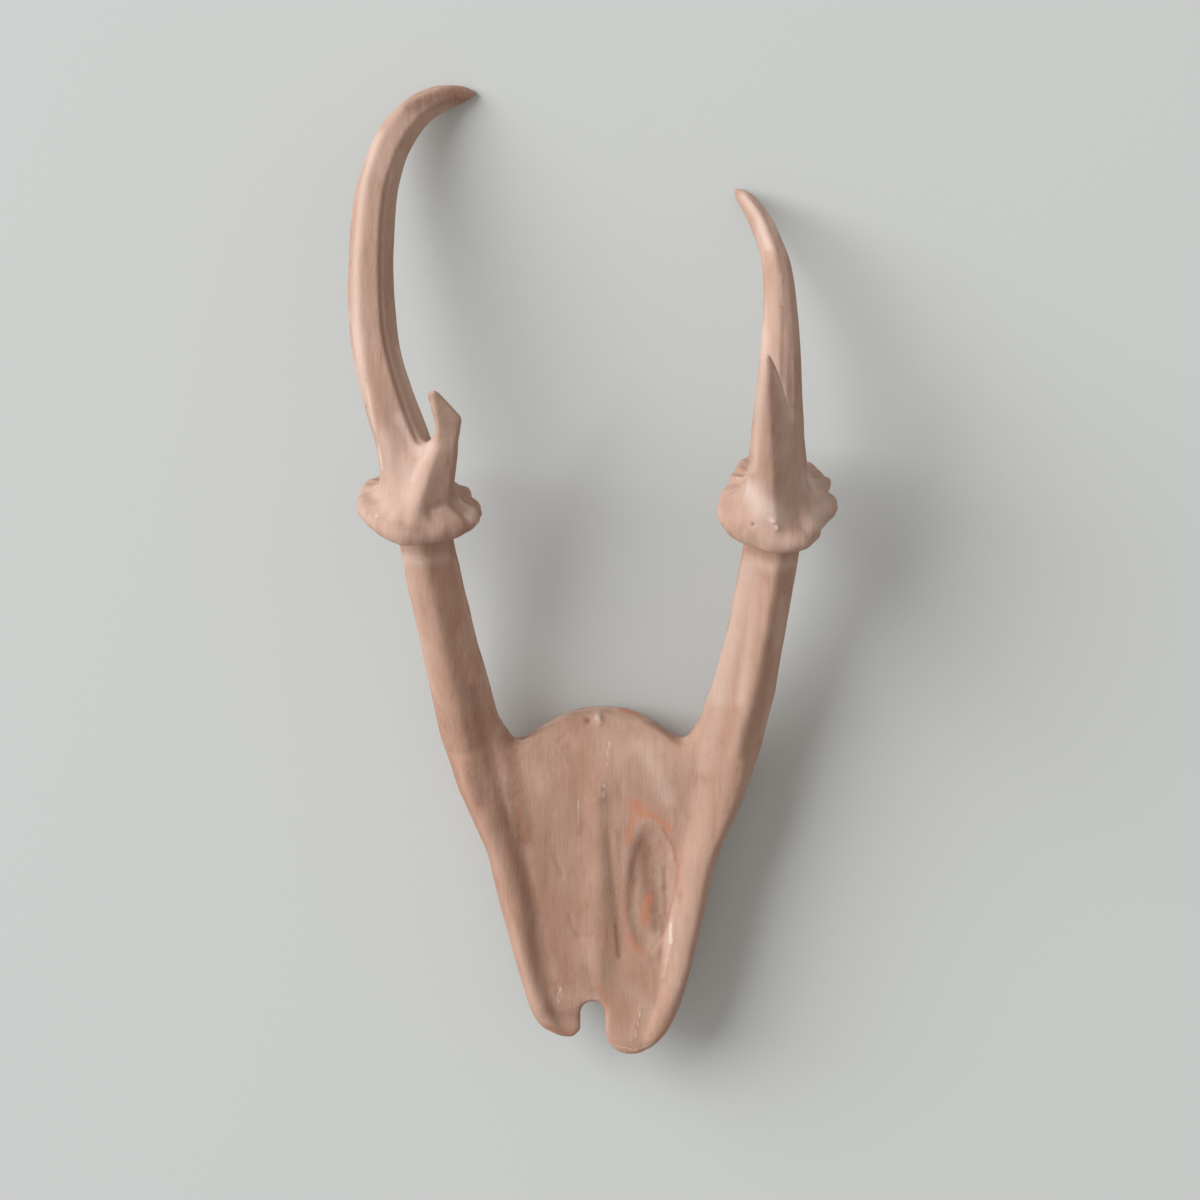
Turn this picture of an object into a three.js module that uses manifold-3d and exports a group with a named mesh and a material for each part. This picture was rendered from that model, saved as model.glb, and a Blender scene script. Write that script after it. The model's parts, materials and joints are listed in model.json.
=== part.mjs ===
// Skull cap of a small deer with both antlers, as it lies on a table.
// Millimetres, +Z up.
//
// Every piece is built in the frame of the cap: x to its right, y from the nose end
// towards the antler tips, z up from the flat sawn back. The whole is then pitched
// back until it rests on the rear rim of the sawn back and on both antler tips.

import * as THREE from 'three';
import { mergeVertices } from 'three/addons/utils/BufferGeometryUtils.js';
import Module from 'manifold-3d';

const wasm = await Module();
wasm.setup();

// Driving dimensions
const LYING_PITCH = THREE.MathUtils.degToRad(11);
const PIECE_GAP = 0.3;
const REAR_RIM_Y = 100;

// Frontal plate: y of the station, x of its left edge, x of its right edge
const PLATE_EDGES = [
  [1, -12.5, 16.5],
  [4, -14.0, 18.8],
  [7, -15.8, 20.6],
  [10, -19.4, 22.4],
  [15, -22.0, 24.6],
  [22, -24.0, 26.8],
  [32, -27.0, 29.4],
  [44, -30.2, 32.2],
  [55, -32.9, 34.6],
  [63, -34.9, 36.8],
  [72, -38.8, 40.8],
  [82, -43.1, 44.9],
  [92, -45.2, 46.8],
  [100, -46.4, 47.8],
];

// Lower outline with its two nose lobes and upper outline with the brow arch:
// share of the half width from -1 on the left to 1 on the right, then y
const LOWER_OUTLINE = [
  [-1, 7.8], [-0.92, 6.4], [-0.78, 5.5], [-0.5, 5.4], [-0.2, 5.0], [0, 3.4], [0.2, 1.0],
  [0.48, 0.1], [0.76, 0.6], [0.92, 2.8], [1, 6.0],
];
const UPPER_OUTLINE = [
  [-1, 93], [-0.72, 97], [-0.52, 98.6], [-0.36, 103], [-0.22, 106.4], [0, 107.6], [0.22, 106.4],
  [0.36, 102.8], [0.5, 98.6], [0.72, 97], [1, 93],
];

// Notch between the nose lobes: its centre line, its half width and its round top,
// and how far the lobes curve away from it at the open end
const NOTCH = { x: -2.2, halfWidth: 3.8, top: 16.6, leftFlare: 2.2, rightFlare: 7.5 };

// Height of the middle of the plate above the sawn back, along y
const FIELD_HEIGHT = [
  [0, 4.6], [12, 5.6], [28, 8.2], [45, 11.6], [62, 15.6], [78, 19.6], [90, 21.6], [99, 19.6],
  [108, 10.5],
];

// Side ridges: y, x of the crest, width of the outer and of the inner slope, height
const LEFT_RIDGE = [
  [6, -13.5, 3.4, 3.0, 6.6],
  [15, -18.4, 3.6, 3.6, 9.0],
  [22, -21.2, 3.2, 4.2, 10.6],
  [33, -23.9, 3.6, 4.4, 13.0],
  [47, -26.2, 4.8, 5.4, 16.2],
  [60, -29.6, 5.6, 6.6, 19.4],
  [73, -34.8, 5.6, 7.8, 22.4],
  [90, -41.6, 5.4, 10.4, 25.2],
  [104, -43.6, 6.4, 12.0, 26.4],
];
const RIGHT_RIDGE = [
  [6, 17.2, 3.4, 3.6, 6.6],
  [15, 21.6, 3.2, 4.6, 9.0],
  [24, 25.2, 2.6, 6.4, 10.8],
  [35, 27.8, 2.8, 7.6, 13.4],
  [47, 30.2, 3.2, 8.6, 16.4],
  [60, 32.8, 4.0, 10.0, 19.6],
  [74, 37.4, 5.4, 11.6, 22.6],
  [90, 42.0, 6.6, 13.0, 25.4],
  [104, 43.0, 8.0, 12.0, 26.6],
];

// Lens-shaped hollow in the right half of the plate, its upper part bulging to the right
const LENS = { x: 15, y: 52, halfWidth: 7.9, halfLength: 21, depth: 1.3, bulge: 1.2, bulgeY: 61 };

// How far the sides of the plate draw in from the ridges down to the sawn back
const SIDE_UNDERCUT = [[0, 0.6], [30, 1.6], [60, 4], [80, 8], [93, 10]];

// Centre line of each limb: x, y, z and the radius there
const LEFT_PEDICLE = [
  [-35.6, 84, 12, 6.8],
  [-38.2, 96.2, 17.5, 8.8],
  [-40.0, 104, 21, 9.1],
  [-42.5, 115, 26.5, 8.9],
  [-45.0, 126, 32, 8.3],
  [-48.0, 140.4, 39, 8.2],
  [-50.7, 154.6, 45.5, 8.0],
  [-53.2, 168, 51.5, 7.9],
];
const RIGHT_PEDICLE = [
  [36.8, 84, 12, 7.2],
  [39.3, 96.2, 17.5, 9.5],
  [40.8, 104, 21, 9.8],
  [43.7, 115, 26.5, 9.3],
  [45.9, 126, 32, 8.7],
  [48.4, 140.4, 39, 8.4],
  [50.6, 154.6, 45.5, 8.2],
  [52.3, 168, 51.5, 8.2],
];
const LEFT_BEAM = [
  [-53.8, 169, 52.5, 9.6],
  [-55.4, 176, 56, 8.7],
  [-57.6, 187, 60, 7.9],
  [-61.6, 199.7, 62.5, 7.3],
  [-65.2, 213.7, 62.5, 6.9],
  [-66.6, 227.8, 61, 6.7],
  [-66.8, 242.1, 58, 6.4],
  [-66.1, 256.6, 54, 6.2],
  [-63.9, 267.5, 50.5, 5.9],
  [-60.8, 276.2, 47.5, 5.5],
  [-56.0, 283.4, 45, 5.1],
  [-51.0, 287.5, 43, 4.5],
  [-46.0, 289.9, 40.9, 3.7],
  [-41.0, 291.0, 39.4, 2.4],
  [-37.2, 291.5, 38.1, 0.7],
];
const RIGHT_BEAM = [
  [52.3, 169, 52.5, 9.8],
  [52.3, 176, 55.5, 8.8],
  [52.2, 187, 59, 7.6],
  [52.3, 199.8, 61, 6.7],
  [52.7, 213.8, 60.5, 5.8],
  [52.8, 224.4, 58.6, 5.1],
  [52.2, 235.1, 55.2, 4.4],
  [50.8, 242.4, 51.8, 3.9],
  [48.5, 250.0, 47.2, 3.4],
  [45.6, 256.4, 41.2, 2.9],
  [42.9, 260.6, 36.4, 2.2],
  [40.6, 263.4, 32.1, 0.7],
];
const LEFT_TINE = [
  [-52.6, 160.5, 56.5, 7.4],
  [-50.2, 169, 61, 6.2],
  [-47.8, 177, 65.5, 4.9],
  [-45.8, 183, 69, 4.1],
  [-44.4, 187, 71.5, 3.4],
  [-43.7, 191, 74, 3.6],
  [-43.8, 196, 77, 4.5],
  [-44.6, 202, 80, 4.9],
];
const RIGHT_TINE = [
  [51.6, 161, 57, 8.6],
  [51.3, 167, 63, 8.2],
  [50.5, 175, 69, 7.5],
  [49.6, 184, 75.5, 6.3],
  [48.6, 194.5, 82.5, 4.7],
  [47.7, 203.5, 88, 2.8],
  [47.2, 209, 91, 0.7],
];

// Broken end of the left brow tine: a point on each face of the break and the direction
// in which that face looks
const BREAKS = [
  [new THREE.Vector3(-43.3, 196.6, 77), new THREE.Vector3(0.71, 0.7, -0.04).normalize()],
  [new THREE.Vector3(-47.4, 200.2, 78), new THREE.Vector3(-0.25, 0.97, 0).normalize()],
];

// Hollow of the braincase under the brow, open at the sawn back, and the wall over it
const VAULT = { x: 0.4, y: 68, halfWidth: 24, halfLength: 27.5, leastHeight: 6 };
const VAULT_WALL = 5.6;

// Long shallow hollow on the sawn back of the nose
const NASAL_HOLLOW = { x: 0.6, y: 31, halfWidth: 8.5, halfLength: 20, height: 4 };

// Burr: centre, tilt of its upper face towards the viewer of the plate, sideways lean,
// and rim radii every 15 degrees from the right side, over the front, to the left and back
const LEFT_BURR = {
  centre: new THREE.Vector3(-53.4, 168, 51.6),
  tilt: 30,
  lean: 2,
  rim: [
    18.4, 19.0, 19.4, 19.0, 18.4, 18.4, 18.6, 18.6, 18.2, 18.0, 18.0, 17.8,
    18.4, 18.6, 20.0, 20.6, 20.8, 19.0, 17.4, 16.4, 16.0, 16.2, 17.2, 17.0,
  ],
  phase: 0.4,
};
const RIGHT_BURR = {
  centre: new THREE.Vector3(52.1, 168.6, 51.6),
  tilt: 38,
  lean: -3,
  rim: [
    17.8, 17.2, 15.8, 16.0, 19.4, 21.2, 19.2, 15.6, 16.2, 17.8, 18.6, 18.4,
    18.2, 17.2, 16.8, 18.6, 22.2, 25.4, 24.0, 22.4, 21.2, 19.4, 18.6, 15.2,
  ],
  phase: 2.1,
};

// Burr profile from the middle of its upper face over the rim to the middle of its
// lower face: share of the rim radius, height along the antler axis
const BURR_PROFILE = [
  [0, 2.4], [0.5, 2.6], [0.72, 1.9], [0.86, 1.9], [0.95, 1.6], [1, 0.3], [0.97, -1.2],
  [0.84, -2.2], [0.45, -2.6], [0, -2.6],
];

// Depth below the middle of the burr where the beam that grows through it ends
const BEAM_FOOT = 2.4;

// Fineness of the faceted skins
const LIMB_SIDES = 20;
const BURR_SIDES = 48;
const PLATE_COLUMNS = 29;
const PLATE_ROWS = 29;

function smoothThrough(points, position, column = 1) {
  // Value at a position on a smooth curve through rows of [position, value, ...]
  const last = points.length - 1;
  if (position <= points[0][0]) return points[0][column];
  if (position >= points[last][0]) return points[last][column];
  let k = 0;
  while (position > points[k + 1][0]) k += 1;
  const slopeAt = (i) => {
    const a = points[Math.max(i - 1, 0)];
    const b = points[Math.min(i + 1, last)];
    return (b[column] - a[column]) / (b[0] - a[0]);
  };
  const span = points[k + 1][0] - points[k][0];
  const s = (position - points[k][0]) / span;
  const start = points[k][column];
  const end = points[k + 1][column];
  const h1 = s * s * (3 - 2 * s);
  const h2 = s * (1 - s) * (1 - s) * span;
  const h3 = -s * s * (1 - s) * span;
  return start + (end - start) * h1 + slopeAt(k) * h2 + slopeAt(k + 1) * h3;
}

function smoothMax(a, b, blend) {
  // The larger of two heights, with a fillet of about the blend where they cross
  const h = Math.max(blend - Math.abs(a - b), 0) / blend;
  return Math.max(a, b) + h * h * blend * 0.25;
}

function smoothMin(a, b, blend) {
  return -smoothMax(-a, -b, blend);
}

function bump(offset, width) {
  return Math.exp(-((offset / width) ** 2));
}

function moveVertices(geometry, place) {
  // Moves each vertex of a geometry to the place worked out from its old one
  const position = geometry.attributes.position;
  const vertex = new THREE.Vector3();
  for (let i = 0; i < position.count; i += 1) {
    vertex.fromBufferAttribute(position, i);
    place(vertex);
    position.setXYZ(i, vertex.x, vertex.y, vertex.z);
  }
  return geometry;
}

function toSolid(geometry) {
  // Closed solid from a geometry, with shared vertices merged
  geometry.deleteAttribute('normal');
  geometry.deleteAttribute('uv');
  const merged = mergeVertices(geometry, 1e-4);
  return new wasm.Manifold(new wasm.Mesh({
    numProp: 3,
    vertProperties: Float32Array.from(merged.attributes.position.array),
    triVerts: Uint32Array.from(merged.index.array),
  }));
}

function toGeometry(solid) {
  const mesh = solid.getMesh();
  const geometry = new THREE.BufferGeometry();
  geometry.setAttribute('position', new THREE.BufferAttribute(mesh.vertProperties, 3));
  geometry.setIndex(new THREE.BufferAttribute(mesh.triVerts, 1));
  geometry.computeVertexNormals();
  return geometry;
}

function limb(rows, rings, section, grow = 0) {
  // Closed skin along a centre line, its section turned so that angle 0 faces up from
  // the plate and 90 degrees faces the cap's right
  const points = rows.map(([x, y, z]) => new THREE.Vector3(x, y, z));
  const path = new THREE.CatmullRomCurve3(points, false, 'catmullrom');
  const radii = new THREE.SplineCurve(rows.map((row, i) => new THREE.Vector2(i, row[3])));
  const skin = new THREE.SphereGeometry(1, LIMB_SIDES, rings);
  return moveVertices(skin, (vertex) => {
    const ring = Math.round((Math.acos(THREE.MathUtils.clamp(-vertex.y, -1, 1)) / Math.PI) * rings);
    const angle = Math.atan2(vertex.x, vertex.z);
    const share = THREE.MathUtils.clamp((ring - 1) / (rings - 2), 0, 1);
    const tangent = path.getTangent(share);
    const front = new THREE.Vector3(0, 0, 1).addScaledVector(tangent, -tangent.z).normalize();
    const side = new THREE.Vector3().crossVectors(tangent, front);
    const isPole = ring === 0 || ring === rings;
    const radius = isPole ? 0 : radii.getPoint(share).y * section(angle, share) + grow;
    vertex.copy(path.getPoint(share));
    vertex.addScaledVector(front, radius * Math.cos(angle));
    vertex.addScaledVector(side, radius * Math.sin(angle));
  });
}

function angleFrom(angle, degrees) {
  // Signed difference to a direction round the limb, in degrees
  const difference = THREE.MathUtils.radToDeg(angle) - degrees;
  return ((difference + 540) % 360) - 180;
}

function ridge(angle, degrees, width, height) {
  return height * bump(angleFrom(angle, degrees), width);
}

function window(share, from, to, fade) {
  // 1 between two shares of the length, fading to 0 outside them
  const rise = THREE.MathUtils.smoothstep(share, from - fade, from);
  return rise * (1 - THREE.MathUtils.smoothstep(share, to, to + fade));
}

// Sections of the limbs: the factor on the radius, round the limb and along it
function faceted(angle, facets, blend = 0.06) {
  // Round section with flats; each flat has its direction and its distance
  let radius = 1;
  for (const [direction, distance] of facets) {
    const away = Math.cos(THREE.MathUtils.degToRad(angleFrom(angle, direction)));
    radius = smoothMin(radius, distance / Math.max(away, 0.2), blend);
  }
  return radius;
}

function leftPedicleSection(angle, share) {
  const root = 1 - THREE.MathUtils.smoothstep(share, 0.02, 0.3);
  return 1.01 * faceted(angle, [[32, 0.8]], 0.14) + root * ridge(angle, 92, 34, 0.5);
}

function rightPedicleSection(angle, share) {
  const root = 1 - THREE.MathUtils.smoothstep(share, 0.02, 0.3);
  return 1.02 * faceted(angle, [[-29, 0.77], [58, 0.84]]) + root * ridge(angle, -92, 34, 0.5);
}

function leftBeamSection(angle, share) {
  const middle = window(share, 0.02, 0.86, 0.1);
  const groove = window(share, 0.08, 0.5, 0.15) * ridge(angle, 36, 11, 0.12);
  const flats = faceted(angle, [[-66, 0.93], [2, 0.87], [56, 0.83]], 0.08);
  return 1 + middle * (1.01 * flats - 1) - groove;
}

function rightBeamSection(angle, share) {
  const high = THREE.MathUtils.smoothstep(share, 0.48, 0.64);
  const lowFlats = faceted(angle, [[26, 0.89], [64, 0.86]], 0.1);
  const highFlats = faceted(angle, [[-38, 0.85], [42, 0.85]]);
  const flats = lowFlats + high * (highFlats - lowFlats);
  return 1 + window(share, 0.05, 0.85, 0.1) * (1.01 * flats - 1);
}

function leftTineSection(angle, share) {
  const flare = 1 - THREE.MathUtils.smoothstep(share, 0, 0.45);
  const upper = THREE.MathUtils.smoothstep(share, 0.4, 0.62);
  const keel = 1.12 * faceted(angle, [[-66, 0.86], [27, 0.76]]);
  const blade = 1.04 * faceted(angle, [[8, 0.64]], 0.16);
  const section = keel * (1 - upper) + blade * upper;
  return section + ridge(angle, 118, 30, 0.1) + flare * ridge(angle, -14, 24, 0.25);
}

function rightTineSection(angle, share) {
  const flare = 1 - THREE.MathUtils.smoothstep(share, 0, 0.4);
  const low = flare * (ridge(angle, 2, 60, 0.1) + ridge(angle, -84, 34, 0.16));
  return 1.06 * faceted(angle, [[-70, 0.93], [33, 0.78]], 0.08) + low;
}

function burrAxis({ tilt, lean }) {
  return new THREE.Vector3(0, 1, 0)
    .applyAxisAngle(new THREE.Vector3(1, 0, 0), THREE.MathUtils.degToRad(tilt))
    .applyAxisAngle(new THREE.Vector3(0, 0, 1), THREE.MathUtils.degToRad(-lean));
}

function burr(foot, grow = 0) {
  // Knobbed disc round the foot of an antler, its rim radii and pearls read round it
  const { centre, rim, phase } = foot;
  const axis = burrAxis(foot);
  const right = new THREE.Vector3(1, 0, 0).addScaledVector(axis, -axis.x).normalize();
  const front = new THREE.Vector3().crossVectors(right, axis);
  const rings = BURR_PROFILE.length - 1;
  const skin = new THREE.SphereGeometry(1, BURR_SIDES, rings);
  return moveVertices(skin, (vertex) => {
    const ring = Math.round((Math.acos(THREE.MathUtils.clamp(vertex.y, -1, 1)) / Math.PI) * rings);
    const turn = Math.atan2(vertex.z, vertex.x);
    const [share, height] = BURR_PROFILE[ring];
    const place = ((turn / (2 * Math.PI) + 1) % 1) * rim.length;
    const before = Math.floor(place) % rim.length;
    const after = (before + 1) % rim.length;
    const mix = place - Math.floor(place);
    const pearls = 0.5 * Math.sin(13 * turn + phase) + 0.3 * Math.sin(21 * turn + 2 * phase);
    const radius = rim[before] * (1 - mix) + rim[after] * mix + pearls * share * share;
    const ribs = 0.45 * Math.sin(15 * turn + 3 * phase) + 0.3 * Math.sin(9 * turn - phase);
    const reach = share > 0 ? radius * share + grow : 0;
    const lift = height > 0 && share > 0 ? ribs * Math.min(1, 4 * (1 - share)) : 0;
    vertex.copy(centre);
    vertex.addScaledVector(right, reach * Math.cos(turn));
    vertex.addScaledVector(front, reach * Math.sin(turn));
    vertex.addScaledVector(axis, height + lift + Math.sign(height) * grow);
  });
}

function sideRidge(x, y, rows, outward) {
  // Height of one rounded side ridge at a place on the plate
  const offset = (x - smoothThrough(rows, y, 1)) * outward;
  const width = smoothThrough(rows, y, offset > 0 ? 2 : 3);
  const top = smoothThrough(rows, y, 4);
  const drop = offset > 0 ? 0.5 * top : 0.42 * top;
  const round = Math.sqrt(Math.max(1 - (offset / width) ** 2, 0));
  return top - drop * (1 - round);
}

function plateHeight(x, y) {
  // Height of the plate's front above the sawn back
  const left = smoothThrough(PLATE_EDGES, y, 1);
  const right = smoothThrough(PLATE_EDGES, y, 2);
  const across = (2 * x - left - right) / (right - left);
  const arch = THREE.MathUtils.smoothstep(y, 92, 106);
  const midRidge = 1.1 * bump(x + 0.4, 3.2) * window(y, 24, 78, 14);
  const grooveX = 3.9 - 0.105 * (y - 50);
  const midGroove = 0.7 * bump(x - grooveX, 2.1) * window(y, 30, 66, 8);
  const lensX = LENS.x + LENS.bulge * bump(y - LENS.bulgeY, 11);
  const fromLens = Math.hypot((x - lensX) / LENS.halfWidth, (y - LENS.y) / LENS.halfLength);
  const lens = LENS.depth * (1 - THREE.MathUtils.smoothstep(fromLens, 0.74, 1.04));
  const nub = bump(Math.hypot(x + 1.2, y - 103.5), 2.2);
  const fall = (8 * arch - 1.2) * across * across;
  const field = smoothThrough(FIELD_HEIGHT, y) - fall + midRidge - midGroove - lens + nub;
  const ridges = Math.max(sideRidge(x, y, LEFT_RIDGE, -1), sideRidge(x, y, RIGHT_RIDGE, 1));
  return smoothMax(field, ridges, 1.6 + 3 * THREE.MathUtils.smoothstep(y, 62, 84));
}

function frontalPlate() {
  // Bone plate with its side ridges, brow arch and the undercut rear rim
  const block = new THREE.BoxGeometry(2, 1, 1, PLATE_COLUMNS, PLATE_ROWS, 2);
  return moveVertices(block, (vertex) => {
    const share = Math.sin((vertex.x * Math.PI) / 2) * 0.35 + vertex.x * 0.65;
    const along = vertex.y + 0.5;
    const level = vertex.z + 0.5;
    const low = smoothThrough(LOWER_OUTLINE, share);
    const high = smoothThrough(UPPER_OUTLINE, share);
    const rear = level === 0 ? Math.min(high, REAR_RIM_Y) : high;
    const y = low + (rear - low) * along;
    const left = smoothThrough(PLATE_EDGES, y, 1);
    const right = smoothThrough(PLATE_EDGES, y, 2);
    const undercut = smoothThrough(SIDE_UNDERCUT, y) * (1 - level) ** 0.8;
    const x = (left + right) / 2 + ((right - left) / 2 - undercut) * share;
    const rim = Math.min(1 - Math.abs(share), along * 1.2, (1 - along) * 2.5);
    const front = plateHeight(x, y) * (1 - 0.35 * bump(rim, 0.03));
    vertex.set(x, y, level === 1 ? front : level * front * 0.7);
  });
}

function noseNotch() {
  // Slot with a round top that parts the two nose lobes, wider at its open end
  const { x, halfWidth, top, leftFlare, rightFlare } = NOTCH;
  const shoulder = top - halfWidth;
  const outline = new THREE.Shape();
  outline.moveTo(x - halfWidth - leftFlare, 3);
  outline.lineTo(x - halfWidth - leftFlare, -5);
  outline.lineTo(x + halfWidth + rightFlare, -5);
  outline.lineTo(x + halfWidth + rightFlare, 0);
  outline.quadraticCurveTo(x + halfWidth + 0.6, 2.5, x + halfWidth, shoulder);
  outline.absarc(x, shoulder, halfWidth, 0, Math.PI, false);
  outline.quadraticCurveTo(x - halfWidth, 7.5, x - halfWidth - leftFlare, 5);
  outline.closePath();
  const cutter = new THREE.ExtrudeGeometry(outline, { depth: 40, bevelEnabled: false, curveSegments: 8 });
  return cutter.translate(0, 0, -10);
}

function cranialVault() {
  // The hollow of the braincase, its roof kept a wall below the front of the plate
  const { x, y, halfWidth, halfLength, leastHeight } = VAULT;
  const hollow = new THREE.SphereGeometry(1, 18, 10);
  return moveVertices(hollow, (vertex) => {
    const along = y + vertex.y * halfLength;
    const roof = smoothThrough(FIELD_HEIGHT, along) - VAULT_WALL;
    vertex.set(x + vertex.x * halfWidth, along, vertex.z * Math.max(roof, leastHeight));
  });
}

function nasalHollow() {
  const { x, y, halfWidth, halfLength, height } = NASAL_HOLLOW;
  return new THREE.SphereGeometry(1, 14, 8).scale(halfWidth, halfLength, height).translate(x, y, 0);
}

function halfSpace(point, direction) {
  // Large block that fills the side of a plane that the direction points to
  const size = 400;
  const block = new THREE.BoxGeometry(size, size, size).translate(0, 0, size / 2);
  const turn = new THREE.Quaternion().setFromUnitVectors(new THREE.Vector3(0, 0, 1), direction);
  return toSolid(block.applyQuaternion(turn).translate(point.x, point.y, point.z));
}

function splitOff(solid, point, direction) {
  // Parts a solid at a plane and leaves the gap between the two pieces
  const beyond = point.clone().addScaledVector(direction, PIECE_GAP);
  const below = solid.subtract(halfSpace(point, direction));
  const above = solid.intersect(halfSpace(beyond, direction));
  return [below, above];
}

function bone(name, color, solid) {
  const material = new THREE.MeshStandardMaterial({ color, roughness: 0.85, metalness: 0 });
  const mesh = new THREE.Mesh(toGeometry(solid), material);
  mesh.name = name;
  return mesh;
}

function pedicleParting(rows) {
  // Plane across a pedicle just above the notch beside the brow arch
  const [x, y, z] = rows[2];
  const direction = new THREE.Vector3(rows[3][0] - x, rows[3][1] - y, rows[3][2] - z).normalize();
  return [new THREE.Vector3(x, y, z), direction];
}

function skullAndPedicles() {
  // Plate and both pedicles in one skin, then parted across the pedicles
  const hollows = toSolid(cranialVault()).add(toSolid(nasalHollow()));
  const plate = toSolid(frontalPlate()).subtract(toSolid(noseNotch())).subtract(hollows);
  const leftLimb = toSolid(limb(LEFT_PEDICLE, 11, leftPedicleSection));
  const rightLimb = toSolid(limb(RIGHT_PEDICLE, 11, rightPedicleSection));
  const [leftRoot, leftShaft] = splitOff(leftLimb, ...pedicleParting(LEFT_PEDICLE));
  const [rightRoot, rightShaft] = splitOff(rightLimb, ...pedicleParting(RIGHT_PEDICLE));
  const above = halfSpace(new THREE.Vector3(0, 0, 0), new THREE.Vector3(0, 0, 1));
  const skull = plate.add(leftRoot).add(rightRoot).intersect(above);
  return { skull, leftShaft, rightShaft };
}

function pedicle(shaft, foot) {
  // Shaft of a pedicle, ended just under the burr that grows on it
  const axis = burrAxis(foot);
  const underside = BURR_PROFILE[BURR_PROFILE.length - 1][1];
  const under = foot.centre.clone().addScaledVector(axis, underside - PIECE_GAP);
  return shaft.subtract(halfSpace(under, axis));
}

function antler(foot, beamRows, beamSection, grow = 0) {
  const disc = toSolid(burr(foot, grow));
  const beam = toSolid(limb(beamRows, 22, beamSection, grow));
  const axis = burrAxis(foot);
  const under = foot.centre.clone().addScaledVector(axis, -BEAM_FOOT - grow);
  return disc.add(beam.intersect(halfSpace(under, axis)));
}

function browTine(rows, section, grownAntler, foot) {
  // Tine that stands on the burr in front of the beam
  const axis = burrAxis(foot);
  const skin = toSolid(limb(rows, 11, section));
  return skin.intersect(halfSpace(foot.centre, axis)).subtract(grownAntler);
}

function largestPiece(solid) {
  const pieces = solid.decompose();
  pieces.sort((a, b) => b.volume() - a.volume());
  return pieces[0];
}

const BONE_COLOR = 0xae8e7d;
const ANTLER_COLOR = 0xb39483;

const { skull, leftShaft, rightShaft } = skullAndPedicles();
const leftAntler = antler(LEFT_BURR, LEFT_BEAM, leftBeamSection);
const rightAntler = antler(RIGHT_BURR, RIGHT_BEAM, rightBeamSection);
const leftClear = antler(LEFT_BURR, LEFT_BEAM, leftBeamSection, PIECE_GAP);
const rightClear = antler(RIGHT_BURR, RIGHT_BEAM, rightBeamSection, PIECE_GAP);
const wholeLeftTine = browTine(LEFT_TINE, leftTineSection, leftClear, LEFT_BURR);
const leftTine = BREAKS.reduce((tine, face) => tine.subtract(halfSpace(...face)), wholeLeftTine);
const rightTine = browTine(RIGHT_TINE, rightTineSection, rightClear, RIGHT_BURR);

const cap = new THREE.Group();
cap.add(bone('skull_plate', BONE_COLOR, skull));
cap.add(bone('left_pedicle', BONE_COLOR, pedicle(leftShaft, LEFT_BURR)));
cap.add(bone('right_pedicle', BONE_COLOR, pedicle(rightShaft, RIGHT_BURR)));
cap.add(bone('left_antler', ANTLER_COLOR, leftAntler));
cap.add(bone('right_antler', ANTLER_COLOR, rightAntler));
cap.add(bone('left_brow_tine', ANTLER_COLOR, largestPiece(leftTine)));
cap.add(bone('right_brow_tine', ANTLER_COLOR, largestPiece(rightTine)));
cap.rotation.x = -LYING_PITCH;

// The origin is on the table under the middle of the whole
const lying = new THREE.Group();
lying.add(cap);
const extent = new THREE.Box3().setFromObject(lying, true);
const middle = extent.getCenter(new THREE.Vector3());
cap.position.set(-middle.x, -middle.y, -extent.min.z);

export default lying;
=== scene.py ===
import json
import math
import bpy
import numpy as np
import openvdb as vdb
from mathutils import Matrix, Vector


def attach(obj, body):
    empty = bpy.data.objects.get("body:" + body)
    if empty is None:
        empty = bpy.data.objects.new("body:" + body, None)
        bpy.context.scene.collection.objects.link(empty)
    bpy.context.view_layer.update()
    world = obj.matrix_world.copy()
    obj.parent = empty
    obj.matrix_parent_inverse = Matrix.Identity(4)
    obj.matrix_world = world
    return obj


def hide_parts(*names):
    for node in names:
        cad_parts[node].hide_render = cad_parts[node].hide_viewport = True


# Skull cap of a small deer with both antlers, lying on a pale floor.
# The pieces are made in the frame of the cap, in millimetres: x to its right, y from the
# nose end towards the antler tips, z up from the flat sawn back.

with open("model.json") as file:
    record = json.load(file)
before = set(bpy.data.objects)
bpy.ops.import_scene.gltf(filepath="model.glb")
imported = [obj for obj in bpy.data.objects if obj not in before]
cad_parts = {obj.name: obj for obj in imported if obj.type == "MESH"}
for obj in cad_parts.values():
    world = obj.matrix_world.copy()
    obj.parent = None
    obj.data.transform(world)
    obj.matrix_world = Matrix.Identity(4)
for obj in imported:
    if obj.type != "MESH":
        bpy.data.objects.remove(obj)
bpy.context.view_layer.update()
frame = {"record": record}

MM_PER_METRE = 1000

# How the cap lies: pitch of the sawn back, and the place of the frame's mount on the cap
LYING_PITCH = math.radians(11)
MOUNT_POINT = (18, 36, 0)

# Photograph: millimetres a pixel at the sawn back, distance of the camera, width and middle
# of the picture in pixels and the y of the cap that lies in the middle
PHOTO_SCALE = 0.31
PHOTO_DISTANCE = 1000
PHOTO_PIXELS = 1200
PHOTO_MIDDLE = PHOTO_PIXELS / 2
PHOTO_MIDDLE_Y = 140.43
SENSOR_WIDTH = 36

# Frontal plate: y of the station, x of its left edge, x of its right edge
PLATE_EDGES = [
    [1, -12.5, 16.5], [4, -14, 18.8], [7, -15.8, 20.6], [10, -19.4, 22.4],
    [15, -22, 24.6], [22, -24, 26.8], [32, -27, 29.4], [44, -30.2, 32.2],
    [55, -32.9, 34.6], [63, -34.9, 36.8], [72, -38.8, 40.8], [82, -43.1, 44.9],
    [92, -45.2, 46.8], [100, -46.4, 47.8],
]

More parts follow.
